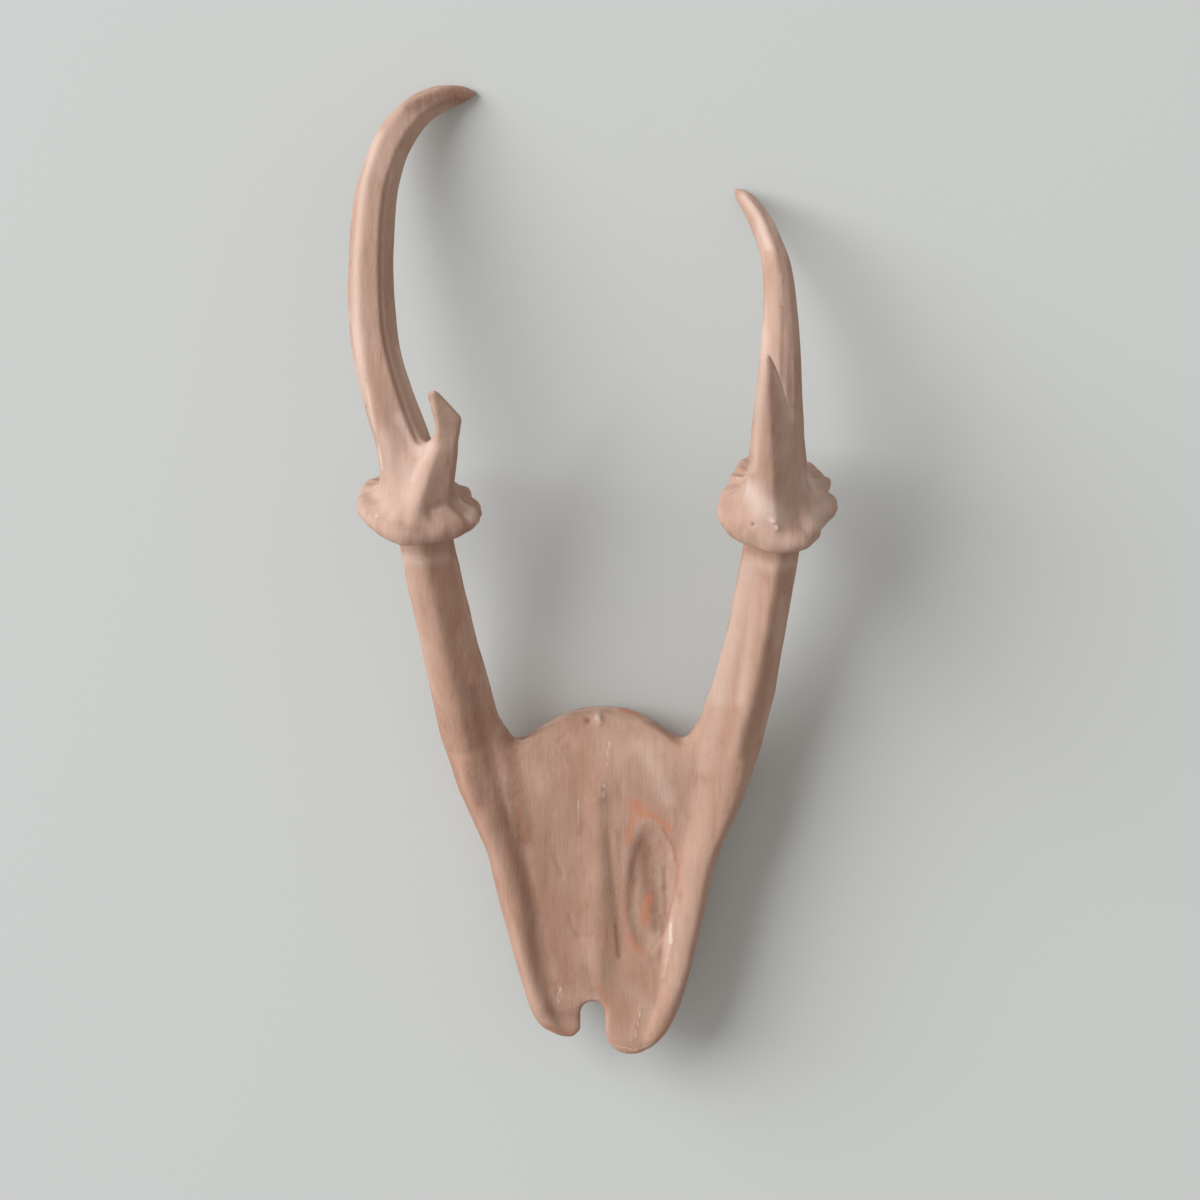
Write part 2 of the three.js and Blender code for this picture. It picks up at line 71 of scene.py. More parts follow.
# Lower and upper outline: share of the half width, y; the sawn back ends at the rear rim
LOWER_OUTLINE = [
    [-1, 7.8], [-0.92, 6.4], [-0.78, 5.5], [-0.5, 5.4], [-0.2, 5],
    [0, 3.4], [0.2, 1], [0.48, 0.1], [0.76, 0.6], [0.92, 2.8], [1, 6],
]
UPPER_OUTLINE = [
    [-1, 93], [-0.72, 97], [-0.52, 98.6], [-0.36, 103], [-0.22, 106.4],
    [0, 107.6], [0.22, 106.4], [0.36, 102.8], [0.5, 98.6], [0.72, 97], [1, 93],
]
REAR_RIM_Y = 100

# Notch between the nose lobes, and how much each side widens towards its open end; the right
# flare starts at a share of the slot's length
NOTCH_X = -2.2
NOTCH_HALF_WIDTH = 3.8
NOTCH_TOP = 16.6
NOTCH_LEFT_FLARE = 2.2
NOTCH_LEFT_FLARE_Y = (4.6, 8.2)
NOTCH_RIGHT_STEP = 0.6
NOTCH_RIGHT_STEP_Y = (3, 9)
NOTCH_RIGHT_FLARE = 22.5
NOTCH_FLARE_START = 0.78
NOTCH_FLARE_CURVE = 1.2
NOTCH_ROUNDING = 1.6

# Height of the middle of the plate above the sawn back, along y
FIELD_HEIGHT = [
    [0, 4.6], [12, 5.6], [28, 8.2], [45, 11.6], [62, 15.6],
    [78, 19.6], [90, 21.6], [99, 19.6], [108, 10.5],
]

# The front rises towards its sides on the forehead and falls towards them on the brow arch
FOREHEAD_RISE = 1.2
BROW_FALL = 8
BROW_ARCH_Y = (92, 106)

# Mid ridge and slanted mid groove: place, height or depth, width, and y of start, end and fade
MID_RIDGE_X = -0.4
MID_RIDGE_HEIGHT = 1.1
MID_RIDGE_WIDTH = 3.2
MID_RIDGE_RUN = (24, 78, 14)
MID_GROOVE_X = 4.9
MID_GROOVE_Y = 50
MID_GROOVE_SLANT = 0.105
MID_GROOVE_DEPTH = 0.6
MID_GROOVE_WIDTH = 2.1
MID_GROOVE_RUN = (30, 66, 8)

# Side ridges: y, x of the crest, width of the outer and of the inner slope, height
LEFT_RIDGE = [
    [6, -13.5, 3.4, 3, 6.6], [15, -18.4, 3.6, 3.6, 9], [22, -21.2, 3.2, 4.2, 10.6],
    [33, -23.9, 3.6, 4.4, 13], [47, -26.2, 4.8, 5.4, 16.2], [60, -29.6, 5.6, 6.6, 19.4],
    [73, -34.8, 5.6, 7.8, 22.4], [90, -41.6, 5.4, 10.4, 25.2], [104, -43.6, 6.4, 12, 26.4],
]
RIGHT_RIDGE = [
    [6, 17.2, 3.4, 3.6, 6.6], [15, 21.6, 3.2, 4.6, 9], [24, 25.2, 2.6, 6.4, 10.8],
    [35, 27.8, 2.8, 7.6, 13.4], [47, 30.2, 3.2, 8.6, 16.4], [60, 32.8, 4, 10, 19.6],
    [74, 37.4, 5.4, 11.6, 22.6], [90, 42, 6.6, 13, 25.4], [104, 43, 8, 12, 26.6],
]

# Share of its height that a ridge falls to each side, and the width of its blend into the
# forehead and into the brow
RIDGE_OUTER_FALL = 0.5
RIDGE_INNER_FALL = 0.42
RIDGE_BLEND = 1.6
BROW_RIDGE_BLEND = 4.6
BROW_BLEND_Y = (62, 84)

# Lens-shaped hollow in the right half of the plate, with a bulge to the right; the slope of
# its rim is in shares of its half size
LENS_X = 15.0
LENS_Y = 52
LENS_HALF_WIDTH = 7.9
LENS_HALF_LENGTH = 21
LENS_DEPTH = 1.3
LENS_SLOPE = (0.74, 1.04)
LENS_BULGE = 1.2
LENS_BULGE_Y = 61
LENS_BULGE_LENGTH = 11

# Undercut of the plate's sides: y, how far the sawn back stays inside the front's outline
SIDE_UNDERCUT = [[0, 0.6], [30, 1.6], [60, 4], [80, 8], [93, 10]]
UNDERCUT_CURVE = 0.8

# Sides of the plate: share of the height at each level; rounding of the upper edge, its width
# as a share of the plate, and weights of the two ends
SIDE_LEVELS = [0, 0.5, 1]
SIDE_HEIGHTS = [0, 0.35, 1]
EDGE_ROUNDING = 0.35
EDGE_WIDTH = 0.03
NOSE_EDGE_WEIGHT = 1.2
BROW_EDGE_WEIGHT = 2.5

# Hollows in the sawn back: the cranial vault under the brow and the long nasal hollow
VAULT_CENTRE = (0.4, 68, 0)
VAULT_HALF_WIDTH = 24
VAULT_HALF_LENGTH = 27.5
VAULT_LEAST_HEIGHT = 6
VAULT_WALL = 5.6
NASAL_CENTRE = (0.6, 31, 0)
NASAL_HALF_SIZES = (8.5, 20, 4)

# Centre line of each limb: x, y, z and the radius there
LEFT_PEDICLE = [
    [-35.6, 84, 12, 6.8], [-38.2, 96.2, 17.5, 8.8], [-40, 104, 21, 9.1],
    [-42.5, 115, 26.5, 8.9], [-45, 126, 32, 8.3], [-48, 140.4, 39, 8.2],
    [-50.7, 154.6, 45.5, 8], [-53.2, 168, 51.5, 7.9],
]
RIGHT_PEDICLE = [
    [36.8, 84, 12, 7.2], [39.3, 96.2, 17.5, 9.5], [40.8, 104, 21, 9.8],
    [43.7, 115, 26.5, 9.3], [45.9, 126, 32, 8.7], [48.4, 140.4, 39, 8.4],
    [50.6, 154.6, 45.5, 8.2], [52.3, 168, 51.5, 8.2],
]
LEFT_BEAM = [
    [-53.8, 169, 52.5, 9.6], [-55.4, 176, 56, 8.7], [-57.6, 187, 60, 7.9],
    [-61.6, 199.7, 62.5, 7.3], [-65.2, 213.7, 62.5, 6.9], [-66.6, 227.8, 61, 6.7],
    [-66.8, 242.1, 58, 6.4], [-66.1, 256.6, 54, 6.2], [-63.9, 267.5, 50.5, 5.9],
    [-60.8, 276.2, 47.5, 5.5], [-56, 283.4, 45, 5.1], [-51, 287.5, 43, 4.5],
    [-46, 289.9, 40.9, 3.7], [-41, 291, 39.4, 2.4], [-37.2, 291.5, 38.1, 0.7],
]
RIGHT_BEAM = [
    [52.3, 169, 52.5, 9.8], [52.3, 176, 55.5, 8.8], [52.2, 187, 59, 7.6],
    [52.3, 199.8, 61, 6.7], [52.7, 213.8, 60.5, 5.8], [52.8, 224.4, 58.6, 5.1],
    [52.2, 235.1, 55.2, 4.4], [50.8, 242.4, 51.8, 3.9], [48.5, 250, 47.2, 3.4],
    [45.6, 256.4, 41.2, 2.9], [42.9, 260.6, 36.4, 2.2], [40.6, 263.4, 32.1, 0.7],
]
LEFT_TINE = [
    [-52.6, 160.5, 56.5, 7.4], [-50.2, 169, 61, 6.2], [-47.8, 177, 65.5, 4.9],
    [-45.8, 183, 69, 4.1], [-44.4, 187, 71.5, 3.4], [-43.7, 191, 74, 3.6],
    [-43.8, 196, 77, 4.5], [-44.6, 202, 80, 4.9],
]
RIGHT_TINE = [
    [51.6, 161, 57, 8.6], [51.3, 167, 63, 8.2], [50.5, 175, 69, 7.5],
    [49.6, 184, 75.5, 6.3], [48.6, 194.5, 82.5, 4.7], [47.7, 203.5, 88, 2.8],
    [47.2, 209, 91, 0.7],
]

# Flats of the limbs: direction in degrees from the front, distance as a share of the radius
LEFT_PEDICLE_FLATS = [(32, 0.8)]
RIGHT_PEDICLE_FLATS = [(-29, 0.77), (58, 0.84)]
LEFT_BEAM_FLATS = [(-66, 0.93), (2, 0.87), (56, 0.83)]
RIGHT_BEAM_LOW_FLATS = [(26, 0.89), (64, 0.86)]
RIGHT_BEAM_HIGH_FLATS = [(-38, 0.85), (42, 0.85)]
LEFT_TINE_KEEL_FLATS = [(-66, 0.86), (27, 0.76)]
LEFT_TINE_BLADE_FLATS = [(8, 0.64)]
RIGHT_TINE_FLATS = [(-70, 0.93), (33, 0.78)]

# Ridges along the limbs, grooves as negative ones: direction and width in degrees, height as a
# share of the radius, and start, end and fade as shares of the length
LEFT_PEDICLE_RIDGES = [(92, 34, 0.5, 0, 0.02, 0.28)]
RIGHT_PEDICLE_RIDGES = [(-92, 34, 0.5, 0, 0.02, 0.28)]
LEFT_BEAM_RIDGES = [(34, 7, -0.13, 0.08, 0.5, 0.15), (-62, 6, 0.04, 0.1, 0.3, 0.1)]
RIGHT_BEAM_GROOVE = [(4, 7, -0.05, 0.1, 0.4, 0.12)]
RIGHT_BEAM_FOLD = [(30, 8, -0.04, 0.1, 0.3, 0.1)]
LEFT_TINE_RIDGES = [(118, 30, 0.1, 0, 1, 1), (-14, 24, 0.25, 0, 0, 0.45)]
RIGHT_TINE_RIDGES = [(2, 60, 0.1, 0, 0, 0.4), (-84, 34, 0.16, 0, 0, 0.4)]

# Broken end of the left brow tine: a point on each face of the break and its outward direction
BREAKS = [((-43.3, 196.6, 77), (0.71, 0.7, -0.04)), ((-47.4, 200.2, 78), (-0.25, 0.97, 0))]
BREAK_ROUNDING = 1.0

# Burr: centre, degrees by which its axis rises from the sawn back and leans sideways, and rim
# radii every 15 degrees, from the right side over the front to the left and back
LEFT_BURR = {
    "centre": (-53.4, 168, 51.6), "tilt": 30, "lean": 2,
    "rim": [
        18.4, 19, 19.4, 19, 18.4, 18.4, 18.6, 18.6, 18.2, 18, 18, 17.8,
        18.4, 18.6, 20, 20.6, 20.8, 19, 17.4, 16.4, 16, 16.2, 17.2, 17,
    ],
}
RIGHT_BURR = {
    "centre": (52.1, 168.6, 51.6), "tilt": 38, "lean": -3,
    "rim": [
        17.8, 17.2, 15.8, 16, 19.4, 21.2, 19.2, 15.6, 16.2, 17.8, 18.6, 18.4,
        18.2, 17.2, 16.8, 18.6, 22.2, 25.4, 24, 22.4, 21.2, 19.4, 18.6, 15.2,
    ],
}

# Section of a burr: share of the rim radius, height along its axis; and its lowest depth
BURR_PROFILE = [
    [0, 2.4], [0.5, 2.6], [0.72, 1.9], [0.86, 1.9], [0.95, 1.6],
    [1, 0.3], [0.97, -1.2], [0.84, -2.2], [0.45, -2.6], [0, -2.6],
]
BURR_UNDERSIDE = 2.6

# Pearls on the rim and ribs on the upper face: height and size of the lumps, and the shift of
# the ribs' noise. They are calmer at the front, by a share that fades with the angle
BURR_PEARLS = [(0.8, 3.6), (0.4, 1.8)]
BURR_RIB_HEIGHT = 1.0
BURR_RIB_SIZE = 2.8
BURR_RIB_SHIFT = 40
BURR_RIB_RUN = (0.62, 0.93, 0.16)
BURR_CALM = 0.45
BURR_CALM_ANGLE = 50

# How far a pedicle reaches past the centre of its burr
PEDICLE_REACH = 1.5

# Fillets where the limbs grow out of the plate, the burr and each other; the armpit's turns
# into the root's over a range of x
ROOT_FILLET = 2.4
ARMPIT_FILLET = 4.5
ARMPIT_X = (31, 42)
BURR_FILLET = 9
CROTCH_FILLET = 8.5

# Skins: fineness in millimetres, reach of the distances in voxels, passes of smoothing, low
# and high corner of each box
SKULL_VOXEL = 0.63
ANTLER_VOXEL = 0.42
BAND = 20
SKULL_SMOOTHING = 2
ANTLER_SMOOTHING = 1
CREST_SMOOTHING = 12
SKULL_BOX = ((-68, -3, -3), (68, 178, 66))
LEFT_ANTLER_BOX = ((-82, 146, 28), (-26, 300, 88))
RIGHT_ANTLER_BOX = ((24, 144, 24), (82, 272, 98))

# Noise: numbers that scramble the corners of its lattice
HASH_FACTORS = (73856093, 19349663, 83492791)
HASH_STIR = 1274126177
HASH_MIDDLE = 32767.5
NOISE_OFFSET = 512


# Small numeric helpers
def smooth_through(rows, position, column=1):
    """Value at a position on a smooth curve through rows of [position, value, ...]."""
    rows = np.asarray(rows, float)
    place, value = rows[:, 0], rows[:, column]
    last = len(rows) - 1
    index = np.arange(last + 1)
    after, before = np.minimum(index + 1, last), np.maximum(index - 1, 0)
    slope = (value[after] - value[before]) / (place[after] - place[before])
    x = np.clip(position, place[0], place[-1])
    k = np.clip(np.searchsorted(place, x, side="right") - 1, 0, last - 1)
    span = place[k + 1] - place[k]
    s = (x - place[k]) / span
    h1 = s * s * (3 - 2 * s)
    h2 = s * (1 - s) ** 2 * span
    h3 = -s * s * (1 - s) * span
    return value[k] + (value[k + 1] - value[k]) * h1 + slope[k] * h2 + slope[k + 1] * h3


def smoothstep(x, low, high):
    """0 below low, 1 above high, with a soft rise between."""
    t = np.clip((x - low) / (high - low), 0, 1)
    return t * t * (3 - 2 * t)


def smooth_max(a, b, blend):
    """Larger of two values, rounded off where they are closer than the blend."""
    h = np.maximum(blend - np.abs(a - b), 0) / blend
    return np.maximum(a, b) + h * h * blend * 0.25


def smooth_min(a, b, blend):
    return -smooth_max(-a, -b, blend)


def bump(offset, width):
    """Bell curve of height 1."""
    return np.exp(-((offset / width) ** 2))


def window(x, start, end, fade):
    """1 from start to end, fading to 0 outside."""
    return smoothstep(x, start - fade, start) * (1 - smoothstep(x, end, end + fade))


def spline(points, share):
    """Uniform Catmull-Rom curve through the points at shares from 0 to 1."""
    p = np.asarray(points, float)
    p = np.vstack([2 * p[0] - p[1], p, 2 * p[-1] - p[-2]])
    place = np.clip(share, 0, 1) * (len(p) - 3)
    k = np.minimum(place.astype(int), len(p) - 4)
    t = (place - k)[:, None]
    a, b, c, d = p[k], p[k + 1], p[k + 2], p[k + 3]
    cubic = (3 * b - 3 * c + d - a) * t ** 3 + (2 * a - 5 * b + 4 * c - d) * t ** 2
    return 0.5 * (cubic + (c - a) * t + 2 * b)


def unit(v):
    return v / np.linalg.norm(v, axis=-1, keepdims=True)


def lattice(*corner):
    """Scrambled value from -1 to 1 for each corner of the lattice."""
    n = np.uint32(0)
    for index, factor in zip(corner, HASH_FACTORS):
        n = n ^ (index.astype(np.uint32) * np.uint32(factor))
    n = (n ^ (n >> np.uint32(13))) * np.uint32(HASH_STIR)
    return ((n ^ (n >> np.uint32(16))) & np.uint32(0xFFFF)) / HASH_MIDDLE - 1


def corner_blend(q, value, soft=False):
    """Blend of value(ix, iy, iz) over the eight whole-number corners round each place."""
    i = np.floor(q).astype(np.int64)
    f = q - i
    if soft:
        f = f * f * (3 - 2 * f)
    total = 0
    for dx, dy, dz in np.ndindex(2, 2, 2):
        weight = np.abs(1 - dx - f[:, 0]) * np.abs(1 - dy - f[:, 1]) * np.abs(1 - dz - f[:, 2])
        total = total + weight * value(i[:, 0] + dx, i[:, 1] + dy, i[:, 2] + dz)
    return total


def noise(p, size):
    """Smooth noise from -1 to 1 with lumps of about the size, in millimetres."""
    return corner_blend(p / np.asarray(size, float) + NOISE_OFFSET, lattice, soft=True)


# Skins: closed meshes lofted from the tables
def closed_skin(rings):
    """Points, triangles and quads of a skin through closed rings, with a pole at each end."""
    count, sides = rings.shape[:2]
    points = rings.reshape(-1, 3)
    poles = np.stack([rings[0].mean(0), rings[-1].mean(0)])
    row = np.arange(count - 1)[:, None] * sides
    col = np.arange(sides)[None, :]
    nxt = (col + 1) % sides
    quads = np.stack([row + col, row + nxt, row + sides + nxt, row + sides + col], -1)
    ring = np.arange(sides)
    first = np.stack([np.full(sides, len(points)), (ring + 1) % sides, ring], 1)
    end = (count - 1) * sides
    last = np.stack([np.full(sides, len(points) + 1), end + ring, end + (ring + 1) % sides], 1)
    return np.vstack([points, poles]), np.vstack([first, last]), quads.reshape(-1, 4)


def limb(rows, section, rings=240, sides=144):
    """Skin along a centre line; angle 0 faces up from the plate, 90 the cap's right."""
    rows = np.asarray(rows, float)
    share = np.linspace(0, 1, rings)
    step = 1e-3
    centre = spline(rows[:, :3], share)
    ahead = spline(rows[:, :3], np.minimum(share + step, 1))
    tangent = unit(ahead - spline(rows[:, :3], np.maximum(share - step, 0)))
    front = unit(np.array([0, 0, 1.0]) - tangent * tangent[:, 2:])
    side = np.cross(tangent, front)
    angle = np.linspace(-math.pi, math.pi, sides, endpoint=False)
    radius = spline(rows[:, 3:], share) * section(np.degrees(angle)[None, :], share[:, None])
    skin = centre[:, None] + front[:, None] * (radius * np.cos(angle))[..., None]
    skin = skin + side[:, None] * (radius * np.sin(angle))[..., None]
    dome = np.linspace(0, math.pi / 2, 6)[1:-1, None, None]
    tip = centre[-1] + (skin[-1] - centre[-1]) * np.cos(dome)
    tip = tip + tangent[-1] * rows[-1, 3] * np.sin(dome)
    return closed_skin(np.concatenate([skin, tip]))


def angle_from(angle, degrees):
    """Turn from a direction to an angle, from -180 to 180 degrees."""
    return (angle - degrees + 540) % 360 - 180


def ridges(angle, share, rows):
    """Ridges along a limb, as a share of the radius."""
    total = 0
    for degrees, width, height, *run in rows:
        total = total + height * bump(angle_from(angle, degrees), width) * window(share, *run)
    return total


# Sections of the limbs: the factor on the radius, round the limb and along it
def faceted(angle, facets, blend=0.06):
    """Round section with flats; each flat has its direction and its distance."""
    radius = np.ones_like(angle, float)
    for direction, distance in facets:
        away = np.cos(np.radians(angle_from(angle, direction)))
        radius = smooth_min(radius, distance / np.maximum(away, 0.2), blend)
    return radius


def left_pedicle_section(angle, share):
    flats = faceted(angle, LEFT_PEDICLE_FLATS, 0.14)
    return 1.01 * flats + ridges(angle, share, LEFT_PEDICLE_RIDGES)


def right_pedicle_section(angle, share):
    flats = faceted(angle, RIGHT_PEDICLE_FLATS)
    return 1.02 * flats + ridges(angle, share, RIGHT_PEDICLE_RIDGES)


def left_beam_section(angle, share):
    middle = window(share, 0.02, 0.86, 0.1)
    flats = faceted(angle, LEFT_BEAM_FLATS, 0.08)
    return 1 + middle * (1.01 * flats - 1) + ridges(angle, share, LEFT_BEAM_RIDGES)


def right_beam_section(angle, share):
    middle = window(share, 0.05, 0.85, 0.1)
    upper = smoothstep(share, 0.48, 0.64)
    low_flats = faceted(angle, RIGHT_BEAM_LOW_FLATS, 0.1)
    low_flats = low_flats + ridges(angle, share, RIGHT_BEAM_GROOVE)
    flats = low_flats + upper * (faceted(angle, RIGHT_BEAM_HIGH_FLATS) - low_flats)
    return 1 + middle * (1.01 * flats - 1) + ridges(angle, share, RIGHT_BEAM_FOLD)


def left_tine_section(angle, share):
    upper = smoothstep(share, 0.4, 0.62)
    keel = 1.12 * faceted(angle, LEFT_TINE_KEEL_FLATS)
    blade = 1.04 * faceted(angle, LEFT_TINE_BLADE_FLATS, 0.16)
    return keel * (1 - upper) + blade * upper + ridges(angle, share, LEFT_TINE_RIDGES)


def right_tine_section(angle, share):
    flats = faceted(angle, RIGHT_TINE_FLATS, 0.08)
    return 1.06 * flats + ridges(angle, share, RIGHT_TINE_RIDGES)


def burr_axis(burr):
    """Direction in which the antler leaves the burr."""
    tilt, lean = math.radians(burr["tilt"]), math.radians(-burr["lean"])
    up = np.array([0, math.cos(tilt), math.sin(tilt)])
    return np.array([-math.sin(lean) * up[1], math.cos(lean) * up[1], up[2]])


def burr_skin(burr, rings=60, sides=360):
    """Knobbed disc round the foot of an antler."""
    axis = burr_axis(burr)
    right = unit(np.array([1.0, 0, 0]) - axis * axis[0])
    front = np.cross(right, axis)
    profile = spline(BURR_PROFILE, np.linspace(0.02, 0.98, rings))
    share, height = profile[:, :1], profile[:, 1:]
    turn = np.linspace(0, 2 * math.pi, sides, endpoint=False)[None, :]
    count = len(burr["rim"])
    stations = np.array([[i - 1, burr["rim"][(i - 1) % count]] for i in range(count + 3)])
    radius = smooth_through(stations, turn / (2 * math.pi) * count)
    around = np.stack([radius * np.cos(turn), radius * np.sin(turn), 0 * turn], -1).reshape(-1, 3)
    pearls = sum(lump * noise(around, size) for lump, size in BURR_PEARLS).reshape(1, -1)
    ribs = BURR_RIB_HEIGHT * noise(around + BURR_RIB_SHIFT, BURR_RIB_SIZE).reshape(1, -1)
    calm = 1 - BURR_CALM * bump(angle_from(np.degrees(turn), 90), BURR_CALM_ANGLE)
    reach = (radius + calm * pearls * share ** 2) * share
    lift = calm * ribs * window(share, *BURR_RIB_RUN) * (height > 0)
    skin = np.array(burr["centre"]) + right * (reach * np.cos(turn))[..., None]
    skin = skin + front * (reach * np.sin(turn))[..., None] + axis * (height + lift)[..., None]
    return closed_skin(skin)


def side_ridge(x, y, rows, outward):
    """Height of a side ridge; outward is the sign of x on its outer side."""
    offset = (x - smooth_through(rows, y, 1)) * outward
    width = np.where(offset > 0, smooth_through(rows, y, 2), smooth_through(rows, y, 3))
    top = smooth_through(rows, y, 4)
    drop = np.where(offset > 0, RIDGE_OUTER_FALL, RIDGE_INNER_FALL) * top
    return top - drop * (1 - np.sqrt(np.maximum(1 - (offset / width) ** 2, 0)))


def plate_height(x, y):
    """Height of the plate's front above the sawn back."""
    left, right = smooth_through(PLATE_EDGES, y, 1), smooth_through(PLATE_EDGES, y, 2)
    across = (2 * x - left - right) / (right - left)
    mid_ridge = MID_RIDGE_HEIGHT * bump(x - MID_RIDGE_X, MID_RIDGE_WIDTH)
    groove_x = MID_GROOVE_X - MID_GROOVE_SLANT * (y - MID_GROOVE_Y)
    mid_groove = MID_GROOVE_DEPTH * bump(x - groove_x, MID_GROOVE_WIDTH)
    lens_x = LENS_X + LENS_BULGE * bump(y - LENS_BULGE_Y, LENS_BULGE_LENGTH)
    from_lens = np.hypot((x - lens_x) / LENS_HALF_WIDTH, (y - LENS_Y) / LENS_HALF_LENGTH)
    lens = LENS_DEPTH * (1 - smoothstep(from_lens, *LENS_SLOPE))
    fall = (BROW_FALL * smoothstep(y, *BROW_ARCH_Y) - FOREHEAD_RISE) * across ** 2
    field = smooth_through(FIELD_HEIGHT, y) - fall + mid_ridge * window(y, *MID_RIDGE_RUN)
    field = field - mid_groove * window(y, *MID_GROOVE_RUN) - lens
    sides = np.maximum(side_ridge(x, y, LEFT_RIDGE, -1), side_ridge(x, y, RIGHT_RIDGE, 1))
    brow = smoothstep(y, *BROW_BLEND_Y)
    return smooth_max(field, sides, RIDGE_BLEND + (BROW_RIDGE_BLEND - RIDGE_BLEND) * brow)


def plate_point(share, along, level):
    """Place on or in the plate: across, from the nose end up, and from the back up."""
    low, high = smooth_through(LOWER_OUTLINE, share), smooth_through(UPPER_OUTLINE, share)
    rim = np.minimum(high, REAR_RIM_Y)
    rear = rim + (high - rim) * np.sin(np.minimum(level * 2, 1) * math.pi / 2)
    y = low + (rear - low) * along
    left, right = smooth_through(PLATE_EDGES, y, 1), smooth_through(PLATE_EDGES, y, 2)
    undercut = smooth_through(SIDE_UNDERCUT, y) * (1 - level) ** UNDERCUT_CURVE
    x = (left + right) / 2 + ((right - left) / 2 - undercut) * share
    ends = np.minimum(along * NOSE_EDGE_WEIGHT, (1 - along) * BROW_EDGE_WEIGHT)
    edge = np.minimum(1 - np.abs(share), ends)
    front = plate_height(x, y) * (1 - EDGE_ROUNDING * bump(edge, EDGE_WIDTH))
    return np.stack([x, y, front * np.interp(level, SIDE_LEVELS, SIDE_HEIGHTS)], -1)


def plate_skin(columns=280, rows=280, levels=24):
    """The six faces of the plate's skin, as one soup of quads."""
    share, along = np.linspace(-1, 1, columns), np.linspace(0, 1, rows)
    level = np.linspace(0, 1, levels)
    faces = [np.meshgrid(share, along, [v], indexing="ij") for v in (0.0, 1.0)]
    faces += [np.meshgrid([v], along, level, indexing="ij") for v in (-1.0, 1.0)]
    faces += [np.meshgrid(share, [v], level, indexing="ij") for v in (0.0, 1.0)]
    points, quads, start = [], [], 0
    for face in faces:
        grid = plate_point(*[np.squeeze(g) for g in face])
        n, m = grid.shape[:2]
        corner = start + np.arange(n - 1)[:, None] * m + np.arange(m - 1)[None, :]
        quad = np.stack([corner, corner + 1, corner + m + 1, corner + m], -1)
        quads.append(quad.reshape(-1, 4))
        points.append(grid.reshape(-1, 3))
        start += n * m
    return np.vstack(points), np.zeros((0, 3), int), np.vstack(quads)


# Distance fields on a grid of voxels
class Grid:
    """Box of voxels that holds distances to a surface."""

    def __init__(self, low, high, voxel):
        self.voxel = voxel
        self.start = [math.floor(v / voxel) for v in low]
        self.shape = [math.ceil(h / voxel) - s + 1 for h, s in zip(high, self.start)]
        self.transform = vdb.createLinearTransform(voxelSize=voxel)

    def axes(self):
        """Coordinates of the voxels along x, y and z, ready to broadcast."""
        lines = [(np.arange(n) + s) * self.voxel for n, s in zip(self.shape, self.start)]
        return lines[0][:, None, None], lines[1][None, :, None], lines[2][None, None, :]

    def distance(self, skin):
        """Distance to a skin, negative inside."""
        points, triangles, quads = skin
        level_set = vdb.FloatGrid.createLevelSetFromPolygons(
            points.astype(np.float32), triangles=triangles.astype(np.uint32),
            quads=quads.astype(np.uint32), transform=self.transform, halfWidth=BAND)
        field = np.empty(self.shape, np.float32)
        level_set.copyToArray(field, ijk=tuple(self.start))
        return field

    def surface(self, field):
        """Points and quads of the surface where the field is zero."""
        level_set = vdb.FloatGrid()
        level_set.copyFromArray(field.astype(np.float32), ijk=tuple(self.start))
        level_set.transform = self.transform
        level_set.gridClass = vdb.GridClass.LEVEL_SET
        points, _, quads = level_set.convertToPolygons(isovalue=0.0, adaptivity=0.0)
        return points.astype(float), quads.astype(np.int64)

    def half_space(self, point, direction):
        """Distance in front of a plane."""
        x, y, z = self.axes()
        px, py, pz = point
        dx, dy, dz = unit(np.array(direction, float))
        return ((x - px) * dx + (y - py) * dy + (z - pz) * dz).astype(np.float32)


def blur(field, passes):
    """Smooths a field in place."""
    for _ in range(passes):
        for axis in range(3):
            f = np.moveaxis(field, axis, 0)
            f[1:-1] = 0.25 * f[:-2] + 0.5 * f[1:-1] + 0.25 * f[2:]
    return field


def hollow_ball(grid, centre, radii):
    """Rough distance to a stretched ball, exact enough near its surface."""
    offsets = [line - middle for line, middle in zip(grid.axes(), centre)]
    reach = np.sqrt(sum((d / r) ** 2 for d, r in zip(offsets, radii))) + 1e-6
    slope = np.sqrt(sum((d / r ** 2) ** 2 for d, r in zip(offsets, radii))) + 1e-6
    return (reach * (reach - 1) / slope).astype(np.float32)


def cranial_vault(grid):
    """Hollow under the brow that keeps the wall of bone over it."""
    y = grid.axes()[1]
    ceiling = np.maximum(smooth_through(FIELD_HEIGHT, y) - VAULT_WALL, VAULT_LEAST_HEIGHT)
    return hollow_ball(grid, VAULT_CENTRE, (VAULT_HALF_WIDTH, VAULT_HALF_LENGTH, ceiling))


def nose_notch(grid):
    """Slot with a round top, wider at its open end."""
    x, y, _ = grid.axes()
    shoulder = NOTCH_TOP - NOTCH_HALF_WIDTH
    left = NOTCH_HALF_WIDTH + NOTCH_LEFT_FLARE * (1 - smoothstep(y, *NOTCH_LEFT_FLARE_Y))
    right = NOTCH_HALF_WIDTH + NOTCH_RIGHT_STEP * (1 - smoothstep(y, *NOTCH_RIGHT_STEP_Y))
    flare = np.maximum((shoulder - y) / shoulder - NOTCH_FLARE_START, 0)
    right = right + NOTCH_RIGHT_FLARE * flare ** NOTCH_FLARE_CURVE
    slot = np.maximum(NOTCH_X - left - x, x - NOTCH_X - right)
    dome = np.hypot(x - NOTCH_X, y - shoulder) - NOTCH_HALF_WIDTH
    field = np.where(y > shoulder, dome, slot)
    return np.broadcast_to(field, grid.shape).astype(np.float32)


